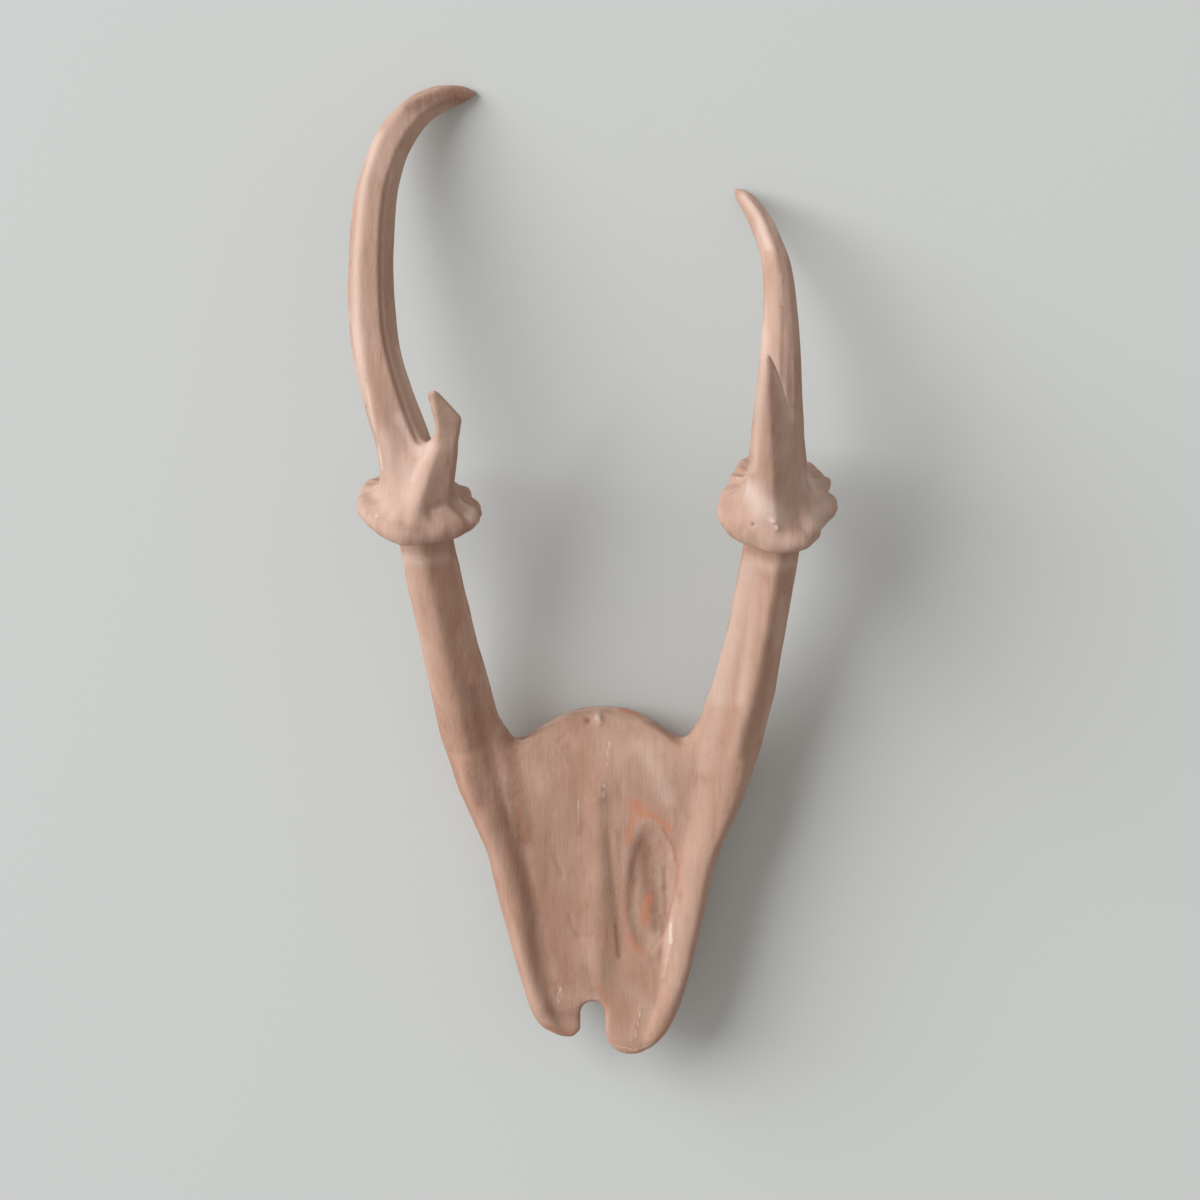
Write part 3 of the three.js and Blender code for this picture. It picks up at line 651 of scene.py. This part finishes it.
def skull_field(grid):
    """Plate and pedicles in one, hollowed, and cut off at the burrs and the sawn back."""
    plate = grid.distance(plate_skin())
    left = grid.distance(limb(LEFT_PEDICLE, left_pedicle_section))
    right = grid.distance(limb(RIGHT_PEDICLE, right_pedicle_section))
    x, _, z = grid.axes()
    armpit = 1 - smoothstep(np.abs(x), *ARMPIT_X)
    fillet = ROOT_FILLET + (ARMPIT_FILLET - ROOT_FILLET) * armpit
    bone = smooth_min(smooth_min(plate, left, fillet), right, fillet)
    bone = blur(bone, SKULL_SMOOTHING)
    bone = smooth_max(bone, -nose_notch(grid), NOTCH_ROUNDING)
    bone = np.maximum(bone, -cranial_vault(grid))
    bone = np.maximum(bone, -hollow_ball(grid, NASAL_CENTRE, NASAL_HALF_SIZES))
    for burr in (LEFT_BURR, RIGHT_BURR):
        axis = burr_axis(burr)
        side = grid.half_space((0, 0, 0), (math.copysign(1, burr["centre"][0]), 0, 0))
        beyond = grid.half_space(np.array(burr["centre"]) + PEDICLE_REACH * axis, axis)
        bone = np.where(side > 0, np.maximum(bone, beyond), bone)
    return np.maximum(bone, -z.astype(np.float32))


def antler_field(grid, burr, beam, beam_section, tine, tine_section, breaks=()):
    """Burr, beam and tine in one, with the broken end cut off the tine."""
    disc = grid.distance(burr_skin(burr))
    shaft = grid.distance(limb(beam, beam_section))
    prong = grid.distance(limb(tine, tine_section))
    for point, direction in breaks:
        prong = smooth_max(prong, grid.half_space(point, direction), BREAK_ROUNDING)
    antler = smooth_min(shaft, prong, CROTCH_FILLET)
    antler = smooth_min(antler, disc, BURR_FILLET)
    axis = burr_axis(burr)
    under = -grid.half_space(np.array(burr["centre"]) - BURR_UNDERSIDE * axis, axis)
    return blur(np.maximum(antler, under), ANTLER_SMOOTHING)


# From surfaces to pieces of the scene
def vertex_normals(points, quads):
    """Normals of the points, from the quads round each, weighted by area."""
    a, b, c, d = [points[quads[:, i]] for i in range(4)]
    face = np.cross(c - a, d - b)
    total = np.zeros_like(points)
    for i in range(4):
        for k in range(3):
            total[:, k] += np.bincount(quads[:, i], weights=face[:, k], minlength=len(points))
    return unit(total + 1e-12)


def sample(grid, field, points):
    """Value of a field at points, blended from the eight voxels round each."""
    q = points / grid.voxel - np.array(grid.start)
    q = np.clip(q, 0, np.array(grid.shape) - 1.001)
    return corner_blend(q, lambda ix, iy, iz: field[ix, iy, iz])


def photo_place(points):
    """Pixel of the photograph where each point of the cap shows."""
    scale = PHOTO_DISTANCE / (PHOTO_DISTANCE - points[:, 2]) / PHOTO_SCALE
    px = PHOTO_MIDDLE + points[:, 0] * scale
    py = PHOTO_MIDDLE - (points[:, 1] - PHOTO_MIDDLE_Y) * scale
    return np.stack([px, py], 1)


def stroke(place, line):
    """Distance in pixels from each place to a line drawn in the photograph."""
    best = np.full(len(place), 1e6)
    for start, end in zip(line[:-1], line[1:]):
        a, b = np.array(start, float), np.array(end, float)
        run = b - a
        t = np.clip(((place - a) @ run) / max(run @ run, 1e-9), 0, 1)
        best = np.minimum(best, np.linalg.norm(place - a - t[:, None] * run, axis=1))
    return best


# Relief on the front: half width in pixels, height in millimetres, line in pixels
RELIEF = [
    [4, -0.25, [(511, 790), (521, 830), (530, 872), (539, 915), (546, 955), (552, 985)]],
    [3.2, -0.2, [(609, 830), (613, 870), (617, 920), (620, 956)]],
    [3, 0.45, [(672, 858), (675, 900), (671, 945), (664, 978)]],
    [2.4, -0.4, [(666, 870), (667, 915), (661, 960)]],
    [5, 1.1, [(597, 719), (598, 721)]],
    [2.6, -0.8, [(588, 719), (588, 721)]],
    [2.4, -0.26, [(555, 856), (557, 864), (561, 870), (562, 877)]],
    [2.2, -0.26, [(570, 915), (572, 926), (578, 936), (590, 938)]],
    [2.4, -0.35, [(557, 985), (559, 995)]],
    [1.6, 0.3, [(641, 1008), (636, 1024), (632, 1041)]],
    [2.4, 0.3, [(601, 785), (602, 797)]],
    [1.8, -0.5, [(752, 524), (753, 525)]],
    [2, 0.4, [(772, 521), (775, 522)]],
    [2, 0.4, [(777, 527), (777, 529)]],
    [6, -0.9, [(432, 512), (442, 507), (454, 505)]],
    [2.2, -0.4, [(558, 742), (566, 735)]],
]

# Colour marks of each kind: half width in pixels, strength, line in pixels
RUST_MARKS = [
    [11, 0.7, [(636, 806), (641, 812)]],
    [6, 0.6, [(644, 812), (658, 818), (669, 830)]],
    [6, 0.65, [(634, 818), (629, 832), (629, 842)]],
    [2.2, 0.6, [(624, 880), (624, 925)]],
    [7, 0.65, [(649, 897), (645, 910), (645, 922)]],
    [6, 0.5, [(629, 936), (634, 948), (643, 953)]],
    [2.6, 0.42, [(670, 834), (677, 850), (680, 872), (678, 892)]],
    [2.4, 0.7, [(568, 709), (595, 706), (625, 708), (645, 713)]],
    [3, 0.35, [(606, 822), (609, 858)]],
    [3.4, 0.3, [(518, 800), (526, 840)]],
    [2.5, 0.55, [(543, 1022), (556, 1031), (568, 1034), (577, 1028)]],
    [2.5, 0.55, [(611, 1040), (625, 1049), (645, 1052), (656, 1045), (668, 1025)]],
    [5, 0.5, [(598, 985), (606, 1002), (604, 1015)]],
    [3, 0.5, [(434, 571), (436, 573)]],
    [2.4, 0.6, [(780, 306), (784, 308)]],
    # Warms and lightens the right burr's shaded right lobe, together with a wear mark over it:
    # painted light
    [14, 0.22, [(812, 482), (822, 500), (814, 520)]],
]
PALE_MARKS = [
    [5.5, 0.7, [(597, 716), (599, 722)]],
    [1.4, 0.85, [(609, 742), (608, 752), (608, 766)]],
    [2.6, 0.7, [(604, 785), (604, 797)]],
    [1.3, 0.65, [(578, 800), (579, 826)]],
    [1.5, 0.9, [(643, 821), (643, 822)]],
    [1.6, 1, [(666, 892), (666, 893)]],
    [1.5, 0.85, [(561, 988), (557, 997), (559, 1003)]],
    [2, 0.45, [(616, 990), (622, 1000), (618, 1006)]],
    [1.4, 0.8, [(641, 1010), (638, 1022), (635, 1038)]],
    [3.8, 0.8, [(671, 924), (671, 942)]],
    [1.4, 0.5, [(669, 942), (664, 976)]],
    [1.8, 0.65, [(618, 1046), (634, 1050), (652, 1044)]],
    [1.8, 0.5, [(588, 998), (598, 999)]],
    [1.4, 0.45, [(640, 935), (646, 943), (656, 934)]],
    [3.6, 0.5, [(424, 556), (428, 562)]],
    [2, 0.8, [(418, 562), (419, 563)]],
    [1.6, 0.45, [(460, 640), (465, 655), (473, 672)]],
    [2.2, 1, [(772, 521), (776, 522)]],
    [2, 1, [(777, 527), (777, 529)]],
    [2.4, 0.6, [(737, 478), (742, 477)]],
    [4, 0.45, [(434, 511), (446, 508)]],
    [1.8, 0.8, [(376, 515), (377, 516)]],
    # Thin pale line down the left beam's left edge: painted highlight
    [1.8, 0.55, [(368, 390), (374, 430), (380, 465)]],
    [2.6, 0.4, [(400, 418), (411, 438)]],
    [1.3, 0.7, [(781, 275), (782, 305)]],
    [1.5, 0.6, [(762, 228), (764, 240)]],
]
# Dark marks: the bone's dark stains, cracks and pits, and painted shade in the channel beside the
# left ridge, the mid groove and the lens, on the shaded sides of the ridges, pedicles and nose
# lobes, under the left burr and at the left beam's tip
DARK_MARKS = [
    [13, 0.55, [(644, 846), (647, 880), (655, 925)]],
    [3, 0.4, [(662, 828), (673, 846), (678, 868), (674, 898), (664, 930), (652, 948)]],
    [6, 0.35, [(633, 862), (632, 905)]],
    [4, 0.5, [(616, 926), (619, 957)]],
    [7, 0.35, [(617, 832), (619, 880), (620, 950)]],
    [6, 0.2, [(448, 425), (446, 470)]],
    [5, 0.15, [(511, 790), (521, 830), (530, 872), (539, 915), (546, 955)]],
    [2, 0.35, [(556, 857), (558, 866), (562, 874)]],
    [1.6, 0.35, [(570, 917), (573, 929), (579, 937)]],
    [3, 0.6, [(588, 719), (588, 720)]],
    [1.6, 0.7, [(752, 524), (752, 525)]],
    [22, 0.3, [(512, 760), (540, 752), (568, 756)]],
    [13, 0.45, [(472, 690), (482, 740), (496, 780), (506, 822)]],
    [16, 0.42, [(548, 1012), (572, 1014)]],
    [12, 0.42, [(585, 968), (590, 990)]],
    [16, 0.55, [(508, 742), (515, 785), (524, 838)]],
    [14, 0.35, [(466, 725), (480, 800)]],
    [6, 0.3, [(736, 770), (726, 812)]],
    [7, 0.25, [(690, 975), (683, 1005)]],
    [6, 0.25, [(508, 895), (518, 925)]],
    [8, 0.2, [(444, 650), (458, 740)]],
    [8, 0.3, [(364, 498), (376, 502)]],
    [7, 0.2, [(724, 518), (736, 526)]],
    [8, 0.2, [(395, 140), (384, 180), (378, 230)]],
    [14, 0.55, [(412, 106), (434, 99), (458, 94)]],
    [10, 0.32, [(400, 524), (418, 530)]],
]
# Worn marks: paler wear on raised parts, and painted light on the left beam's lit left edge, the
# right pedicle's lit face, the rear rim, the right burr's shaded right lobe and the left pedicle's
# shaded right edge, and over the shade under the burrs and in the armpits between the plate and the
# pedicles
WORN_AND_LIT_MARKS = [
    [20, 0.35, [(386, 440), (402, 470), (404, 490)]],
    [11, 0.5, [(400, 418), (412, 436), (420, 452)]],
    [7, 0.45, [(430, 445), (420, 462), (412, 480)]],
    [16, 0.5, [(748, 566), (736, 620), (724, 670), (718, 700)]],
    [16, 0.36, [(718, 700), (706, 750), (704, 764)]],
    [16, 0.22, [(702, 790), (692, 870), (684, 930), (674, 980)]],
    [16, 0.6, [(752, 490), (762, 508), (776, 514)]],
    [12, 0.35, [(640, 745), (655, 770), (668, 800)]],
    [8, 0.5, [(760, 300), (764, 340), (762, 360)]],
    [7, 0.5, [(744, 196), (757, 215), (768, 246)]],
    [6, 0.4, [(776, 372), (784, 395), (790, 420)]],
    [9, 0.4, [(764, 366), (760, 400), (755, 440), (752, 470)]],
    [11, 0.42, [(753, 580), (749, 640), (741, 700)]],
    [9, 0.32, [(781, 600), (777, 660), (768, 735)]],
    [8, 0.36, [(512, 736), (530, 732)]],
    [8, 0.2, [(674, 735), (688, 738)]],
    [9, 0.24, [(767, 590), (763, 640), (756, 690)]],
    [6, 0.45, [(400, 350), (412, 395), (424, 432)]],
    [5, 0.3, [(432, 402), (434, 425)]],
    [5, 0.4, [(766, 205), (776, 235)]],
    [14, 0.3, [(750, 705), (738, 745)]],
    [14, 0.6, [(812, 482), (822, 500), (814, 520)]],
    [12, 0.3, [(775, 540), (798, 540)]],
    [8, 0.6, [(458, 498), (470, 508), (472, 518)]],
    [9, 0.42, [(403, 557), (425, 562), (445, 558)]],
    [10, 0.42, [(748, 560), (772, 567), (793, 564)]],
    [5, 0.4, [(456, 560), (474, 632), (494, 704), (510, 732)]],
    [6, 0.5, [(520, 736), (545, 720), (572, 711), (610, 708), (648, 712), (676, 731)]],
    [22, 0.2, [(560, 800), (566, 880)]],
    [14, 0.25, [(630, 990), (650, 1010)]],
    [8, 0.45, [(378, 132), (364, 182), (357, 250), (356, 330), (365, 400)]],
    [8, 0.24, [(408, 580), (420, 640), (430, 690)]],
    [10, 0.25, [(366, 478), (380, 500), (392, 516)]],
    [7, 0.3, [(671, 920), (668, 960)]],
    [7, 0.3, [(430, 512), (446, 508), (452, 516)]],
    [4, 0.5, [(366, 384), (374, 430), (381, 470)]],
]
MARKS = {"orange": RUST_MARKS, "pale": PALE_MARKS, "dark": DARK_MARKS, "worn_and_lit": WORN_AND_LIT_MARKS}

# Factors on the strength and the width of every colour mark
MARK_STRENGTH = 1.3
MARK_WIDTH = 0.85

# Upward part of the normal over which relief and colour marks fade in
RELIEF_FACING = (0.15, 0.5)
MARK_FACING = (-0.25, 0.2)

# Where the bone turns to its sides the edges of the marks wander: pixels, size of the waves,
# shifts of their noises and upward part of the normal where they stop
WANDER = 12
WANDER_SIZE = 6
WANDER_SHIFTS = (11, 29)
WANDER_FACING = (0.1, 0.55)

# Slow waves of the surface: height, length along x, y and z
SURFACE_WAVES = [(0.16, (5, 14, 5)), (0.07, (1.6, 6, 1.6))]

# Heights above the sawn back where relief comes in and the sawn colour goes out, and the
# downward part of the normal where that colour comes in
SAWN_CALM = (0.2, 1.6)
SAWN_HEIGHT = (0.2, 0.5)
SAWN_FACING = (0.5, 0.8)


def relief(points, normals):
    """How far the points move along their normals, for the marks of relief and slow waves."""
    place = photo_place(points)
    facing = smoothstep(normals[:, 2], *RELIEF_FACING)
    lift = np.zeros(len(points))
    for width, height, line in RELIEF:
        lift += facing * height * bump(stroke(place, line), width)
    for height, size in SURFACE_WAVES:
        lift += height * noise(points, size)
    return lift


def paint(points, normals):
    """Strength of each kind of colour mark at the points."""
    aside = 1 - smoothstep(normals[:, 2], *WANDER_FACING)
    waves = [noise(points + shift, WANDER_SIZE) for shift in WANDER_SHIFTS]
    place = photo_place(points) + WANDER * aside[:, None] * np.stack(waves, 1)
    facing = smoothstep(normals[:, 2], *MARK_FACING)
    values = {kind: np.zeros(len(points)) for kind in MARKS}
    for kind, rows in MARKS.items():
        for width, strength, line in rows:
            mark = strength * facing * bump(stroke(place, line), MARK_WIDTH * width)
            values[kind] = np.maximum(values[kind], MARK_STRENGTH * mark)
    return values


def to_row():
    """Turn and place that carry the cap's millimetres to the frame of the row, in metres."""
    turn = Matrix.Rotation(-LYING_PITCH, 3, "X")
    mount = next(m for m in frame["record"]["mounts"] if m["name"] == "sawn_back")
    place = Vector(mount["pos_m"]) - turn @ (Vector(MOUNT_POINT) / MM_PER_METRE)
    return np.array(turn), np.array(place)


TURN, PLACE = to_row()


def smooth_mesh(name, points, quads):
    """Smooth-shaded mesh of points in metres."""
    mesh = bpy.data.meshes.new(name)
    mesh.vertices.add(len(points))
    mesh.vertices.foreach_set("co", points.astype(np.float32).ravel())
    mesh.loops.add(quads.size)
    mesh.loops.foreach_set("vertex_index", quads.astype(np.int32).ravel())
    mesh.polygons.add(len(quads))
    mesh.polygons.foreach_set("loop_start", np.arange(0, quads.size, 4, dtype=np.int32))
    mesh.update(calc_edges=True)
    mesh.polygons.foreach_set("use_smooth", np.ones(len(quads), bool))
    return mesh


def piece(name, grid, field, nodes, material, flat_back=False):
    """Turns a field into one piece of the scene, with its relief and marks."""
    points, quads = grid.surface(field)
    normals = vertex_normals(points, quads)
    if (normals[:, 2] * (points[:, 2] - points[:, 2].mean())).mean() < 0:
        quads = quads[:, ::-1]
        normals = -normals
    marks = paint(points, normals)
    # Crest: how far each point stands out of the smoothed surface, positive on crests and negative
    # in hollows; the material makes crests paler and paints shade into hollows
    smoothed = blur(field.copy(), CREST_SMOOTHING)
    marks["crest"] = sample(grid, smoothed, points) / grid.voxel
    low = 1 - smoothstep(points[:, 2], *SAWN_HEIGHT)
    marks["sawn"] = low * smoothstep(-normals[:, 2], *SAWN_FACING) * flat_back
    lift = relief(points, normals)
    if flat_back:
        lift *= smoothstep(points[:, 2], *SAWN_CALM)
    shaped = points + normals * lift[:, None]
    if flat_back:
        shaped[:, 2] = np.maximum(shaped[:, 2], 0)
    mesh = smooth_mesh(name, shaped / MM_PER_METRE @ TURN.T + PLACE, quads)
    for kind, value in marks.items():
        data = mesh.attributes.new(kind, "FLOAT", "POINT").data
        data.foreach_set("value", value.astype(np.float32))
    mesh.materials.append(material)
    thing = bpy.data.objects.new(name, mesh)
    bpy.context.scene.collection.objects.link(thing)
    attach(thing, "root")
    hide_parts(*nodes)


# Materials. Colours are red, green and blue from 0 to 255; the bone's are its base, its
# light and dark grain, which also make its crests paler and paint shade into its hollows, and
# the colour of its wear, which also paints light onto shaded places
SKULL_COLOURS = [(174, 136, 117), (200, 169, 153), (138, 98, 80), (220, 195, 182)]
ANTLER_COLOURS = [(175, 141, 124), (203, 174, 160), (141, 104, 87), (222, 199, 187)]
# Colour of the dark marks: stains and painted shade
STAIN_AND_SHADE_COLOUR = (122, 84, 66)
RUST_COLOUR = (203, 122, 86)
CHALK_COLOUR = (216, 198, 182)
FLECK_COLOUR = (206, 180, 162)
PIT_COLOUR = (118, 80, 64)
SAWN_COLOUR = (190, 160, 138)
FLOOR_COLOUR = (204, 207, 206)
SAWN_OPACITY = 0.8

# Reflection of the bone, and its grain as bump: strength and depth in metres
BONE_ROUGHNESS = (0.72, 0.92)
BONE_SPECULAR = 0.05
BUMP_STRENGTH = 0.4
BUMP_DEPTH = 0.0005
FLOOR_ROUGHNESS = 0.9
FLOOR_SPECULAR = 0.1


def linear(*colour):
    """Linear light of a colour on the screen."""
    v = np.array(colour) / 255
    light = np.where(v <= 0.04045, v / 12.92, ((v + 0.055) / 1.055) ** 2.4)
    return (*light.tolist(), 1)


class Nodes:
    """A material under construction."""

    def __init__(self, name):
        self.material = bpy.data.materials.new(name)
        self.material.use_nodes = True
        self.tree = self.material.node_tree
        self.shader = self.tree.nodes["Principled BSDF"]
        self.coordinates = self.add("ShaderNodeTexCoord").outputs["Object"]

    def add(self, kind, **settings):
        node = self.tree.nodes.new(kind)
        for key, value in settings.items():
            if key in node.inputs:
                node.inputs[key].default_value = value
            else:
                setattr(node, key, value)
        return node

    def link(self, source, target):
        self.tree.links.new(source, target)

    def place(self, scale):
        """Coordinates on the cap in millimetres, times the scale along each direction."""
        turned = self.add("ShaderNodeVectorRotate", rotation_type="X_AXIS", Angle=LYING_PITCH)
        self.link(self.coordinates, turned.inputs["Vector"])
        stretched = self.add("ShaderNodeVectorMath", operation="MULTIPLY")
        stretched.inputs[1].default_value = [MM_PER_METRE * s for s in scale]
        self.link(turned.outputs[0], stretched.inputs[0])
        return stretched.outputs[0]

    def noise(self, scale, detail=3, roughness=0.55):
        """Noise with about this many lumps a millimetre along each direction."""
        texture = self.add("ShaderNodeTexNoise", Scale=1.0, Detail=detail, Roughness=roughness)
        self.link(self.place(scale), texture.inputs["Vector"])
        return texture.outputs["Fac"]

    def attribute(self, name):
        return self.add("ShaderNodeAttribute", attribute_name=name).outputs["Fac"]

    def fit(self, source, low, high, start=0.0, end=1.0):
        """Smooth step of a value between two limits."""
        node = self.add("ShaderNodeMapRange", interpolation_type="SMOOTHSTEP")
        limits = {"From Min": low, "From Max": high, "To Min": start, "To Max": end}
        for key, value in limits.items():
            node.inputs[key].default_value = value
        self.link(source, node.inputs["Value"])
        return node.outputs["Result"]

    def math(self, operation, a, b):
        node = self.add("ShaderNodeMath", operation=operation)
        for i, value in enumerate((a, b)):
            if isinstance(value, (int, float)):
                node.inputs[i].default_value = value
            else:
                self.link(value, node.inputs[i])
        return node.outputs[0]

    def mix(self, factor, a, b):
        """Colour a turning to colour b with the factor."""
        node = self.add("ShaderNodeMix", data_type="RGBA")
        self.link(factor, node.inputs["Factor"])
        for socket, value in ((node.inputs[6], a), (node.inputs[7], b)):
            if isinstance(value, tuple):
                socket.default_value = value
            else:
                self.link(value, socket)
        return node.outputs[2]


def layered(nodes, color, layers):
    """Colour under layers: source, its values where a layer starts and is full, opacity, colour."""
    for source, low, high, opacity, over in layers:
        color = nodes.mix(nodes.fit(source, low, high, 0, opacity), color, over)
    return color


def bone_material(name, colours):
    """Matt stained bone with brushed grain, chips, paler crests, painted shade in its hollows, and
    marks of stains and wear that also hold painted shade and painted light.
    """
    nodes = Nodes(name)
    base, light, dark, worn_and_lit = [linear(*colour) for colour in colours]
    streaks = nodes.noise((1.0, 0.07, 0.4), detail=4, roughness=0.6)
    brushed = nodes.noise((3.2, 0.25, 1.4), detail=3, roughness=0.6)
    mottle = nodes.noise((0.06, 0.025, 0.06), detail=2)
    blotch = nodes.noise((0.28, 0.14, 0.28), detail=4, roughness=0.6)
    speckle = nodes.noise((2.4, 1.8, 2.4), detail=3, roughness=0.7)
    ragged = nodes.noise((1.1, 0.45, 1.1), detail=5, roughness=0.75)
    torn = nodes.math("SUBTRACT", ragged, 0.5)
    # Dark marks, as stains and painted shade
    stain_and_shade = nodes.math("ADD", nodes.attribute("dark"), nodes.math("MULTIPLY", torn, 0.7))
    rust = nodes.math("ADD", nodes.attribute("orange"), torn)
    pale = nodes.attribute("pale")
    chips = nodes.fit(nodes.math("ADD", pale, nodes.math("MULTIPLY", torn, 2.6)), 0.44, 0.76)
    chalk = nodes.math("MULTIPLY", chips, nodes.fit(pale, 0.1, 1.3, 0.1, 0.9))
    crest = nodes.attribute("crest")
    color = layered(nodes, base, [
        (mottle, 0.35, 0.68, 0.5, light),
        (streaks, 0.5, 0.85, 0.28, light),
        (streaks, 0.5, 0.2, 0.24, dark),
        (blotch, 0.52, 0.85, 0.4, dark),
        (brushed, 0.52, 0.8, 0.25, light),
        # Wear marks: paler wear, and painted light that brightens shaded places
        (nodes.attribute("worn_and_lit"), 0, 1.1, 0.75, worn_and_lit),
        # Paler on crests, and painted shade darkening the hollows
        (crest, 0.3, 1.2, 0.25, light),
        (crest, -0.15, -0.8, 0.5, dark),
        (stain_and_shade, 0.05, 1.1, 0.8, linear(*STAIN_AND_SHADE_COLOUR)),
        (rust, 0.1, 1.25, 0.72, linear(*RUST_COLOUR)),
    ])
    color = nodes.mix(chalk, color, linear(*CHALK_COLOUR))
    color = layered(nodes, color, [
        (speckle, 0.64, 0.78, 0.3, linear(*FLECK_COLOUR)),
        (speckle, 0.38, 0.26, 0.4, linear(*PIT_COLOUR)),
    ])
    sawn = nodes.math("MULTIPLY", nodes.attribute("sawn"), SAWN_OPACITY)
    color = nodes.mix(sawn, color, linear(*SAWN_COLOUR))
    nodes.link(color, nodes.shader.inputs["Base Color"])
    roughness = nodes.fit(speckle, 0.2, 0.8, *BONE_ROUGHNESS)
    nodes.link(roughness, nodes.shader.inputs["Roughness"])
    nodes.shader.inputs["Specular IOR Level"].default_value = BONE_SPECULAR
    height = nodes.math("MULTIPLY", streaks, 0.5)
    for source, share in ((brushed, 0.35), (speckle, 0.3), (chips, 0.12)):
        height = nodes.math("ADD", height, nodes.math("MULTIPLY", source, share))
    bumps = nodes.add("ShaderNodeBump", Strength=BUMP_STRENGTH, Distance=BUMP_DEPTH)
    nodes.link(height, bumps.inputs["Height"])
    nodes.link(bumps.outputs["Normal"], nodes.shader.inputs["Normal"])
    return nodes.material


def floor_material():
    nodes = Nodes("pale_floor")
    nodes.shader.inputs["Base Color"].default_value = linear(*FLOOR_COLOUR)
    nodes.shader.inputs["Roughness"].default_value = FLOOR_ROUGHNESS
    nodes.shader.inputs["Specular IOR Level"].default_value = FLOOR_SPECULAR
    return nodes.material


# Floor, light and camera, in metres and watts; the window is a square lamp
FLOOR_REACH = 6
SKY_COLOUR = (1, 0.95, 0.9, 1)
SKY_STRENGTH = 0.43
WINDOW_PLACE = (-4.95, 2.7, 3.5)
WINDOW_SIZE = 5.2
WINDOW_POWER = 570
WINDOW_COLOUR = (0.96, 0.985, 1)


def floor():
    r = FLOOR_REACH
    mesh = bpy.data.meshes.new("floor")
    corners = [(-r, -r, 0), (r, -r, 0), (r, r, 0), (-r, r, 0)]
    mesh.from_pydata(corners, [], [(0, 1, 2, 3)])
    mesh.materials.append(floor_material())
    thing = bpy.data.objects.new("floor", mesh)
    bpy.context.scene.collection.objects.link(thing)


def window_light():
    """Lamp that faces the middle of the object."""
    lamp = bpy.data.lights.new("window", "AREA")
    lamp.shape = "SQUARE"
    lamp.size = WINDOW_SIZE
    lamp.energy = WINDOW_POWER
    lamp.color = WINDOW_COLOUR
    thing = bpy.data.objects.new("window", lamp)
    thing.location = WINDOW_PLACE
    thing.rotation_euler = Vector(WINDOW_PLACE).to_track_quat("Z", "Y").to_euler()
    bpy.context.scene.collection.objects.link(thing)


def studio():
    world = bpy.data.worlds.new("studio")
    world.use_nodes = True
    sky = world.node_tree.nodes["Background"]
    sky.inputs["Color"].default_value = SKY_COLOUR
    sky.inputs["Strength"].default_value = SKY_STRENGTH
    bpy.context.scene.world = world
    bpy.context.scene.view_settings.view_transform = "Standard"
    window_light()


def camera():
    """Looks square at the sawn back from the distance of the photograph."""
    lens = bpy.data.cameras.new("camera")
    lens.sensor_width = SENSOR_WIDTH
    lens.lens = SENSOR_WIDTH * PHOTO_DISTANCE / (PHOTO_SCALE * PHOTO_PIXELS)
    thing = bpy.data.objects.new("camera", lens)
    bpy.context.scene.collection.objects.link(thing)
    place = TURN @ (np.array([0, PHOTO_MIDDLE_Y, PHOTO_DISTANCE]) / MM_PER_METRE) + PLACE
    thing.matrix_world = Matrix.Translation(Vector(place)) @ Matrix(TURN).to_4x4()
    bpy.context.scene.camera = thing


# The three pieces
def skull_cap(material):
    grid = Grid(*SKULL_BOX, SKULL_VOXEL)
    nodes = ("skull_plate", "left_pedicle", "right_pedicle")
    piece("skull_cap", grid, skull_field(grid), nodes, material, flat_back=True)


def left_antler(material):
    grid = Grid(*LEFT_ANTLER_BOX, ANTLER_VOXEL)
    limbs = (LEFT_BEAM, left_beam_section, LEFT_TINE, left_tine_section)
    field = antler_field(grid, LEFT_BURR, *limbs, breaks=BREAKS)
    nodes = ("left_antler", "left_brow_tine")
    piece("left_antler_bone", grid, field, nodes, material)


def right_antler(material):
    grid = Grid(*RIGHT_ANTLER_BOX, ANTLER_VOXEL)
    limbs = (RIGHT_BEAM, right_beam_section, RIGHT_TINE, right_tine_section)
    field = antler_field(grid, RIGHT_BURR, *limbs)
    nodes = ("right_antler", "right_brow_tine")
    piece("right_antler_bone", grid, field, nodes, material)


camera()
skull_cap(bone_material("stained_bone", SKULL_COLOURS))
antler_bone = bone_material("stained_antler", ANTLER_COLOURS)
left_antler(antler_bone)
right_antler(antler_bone)
floor()
studio()
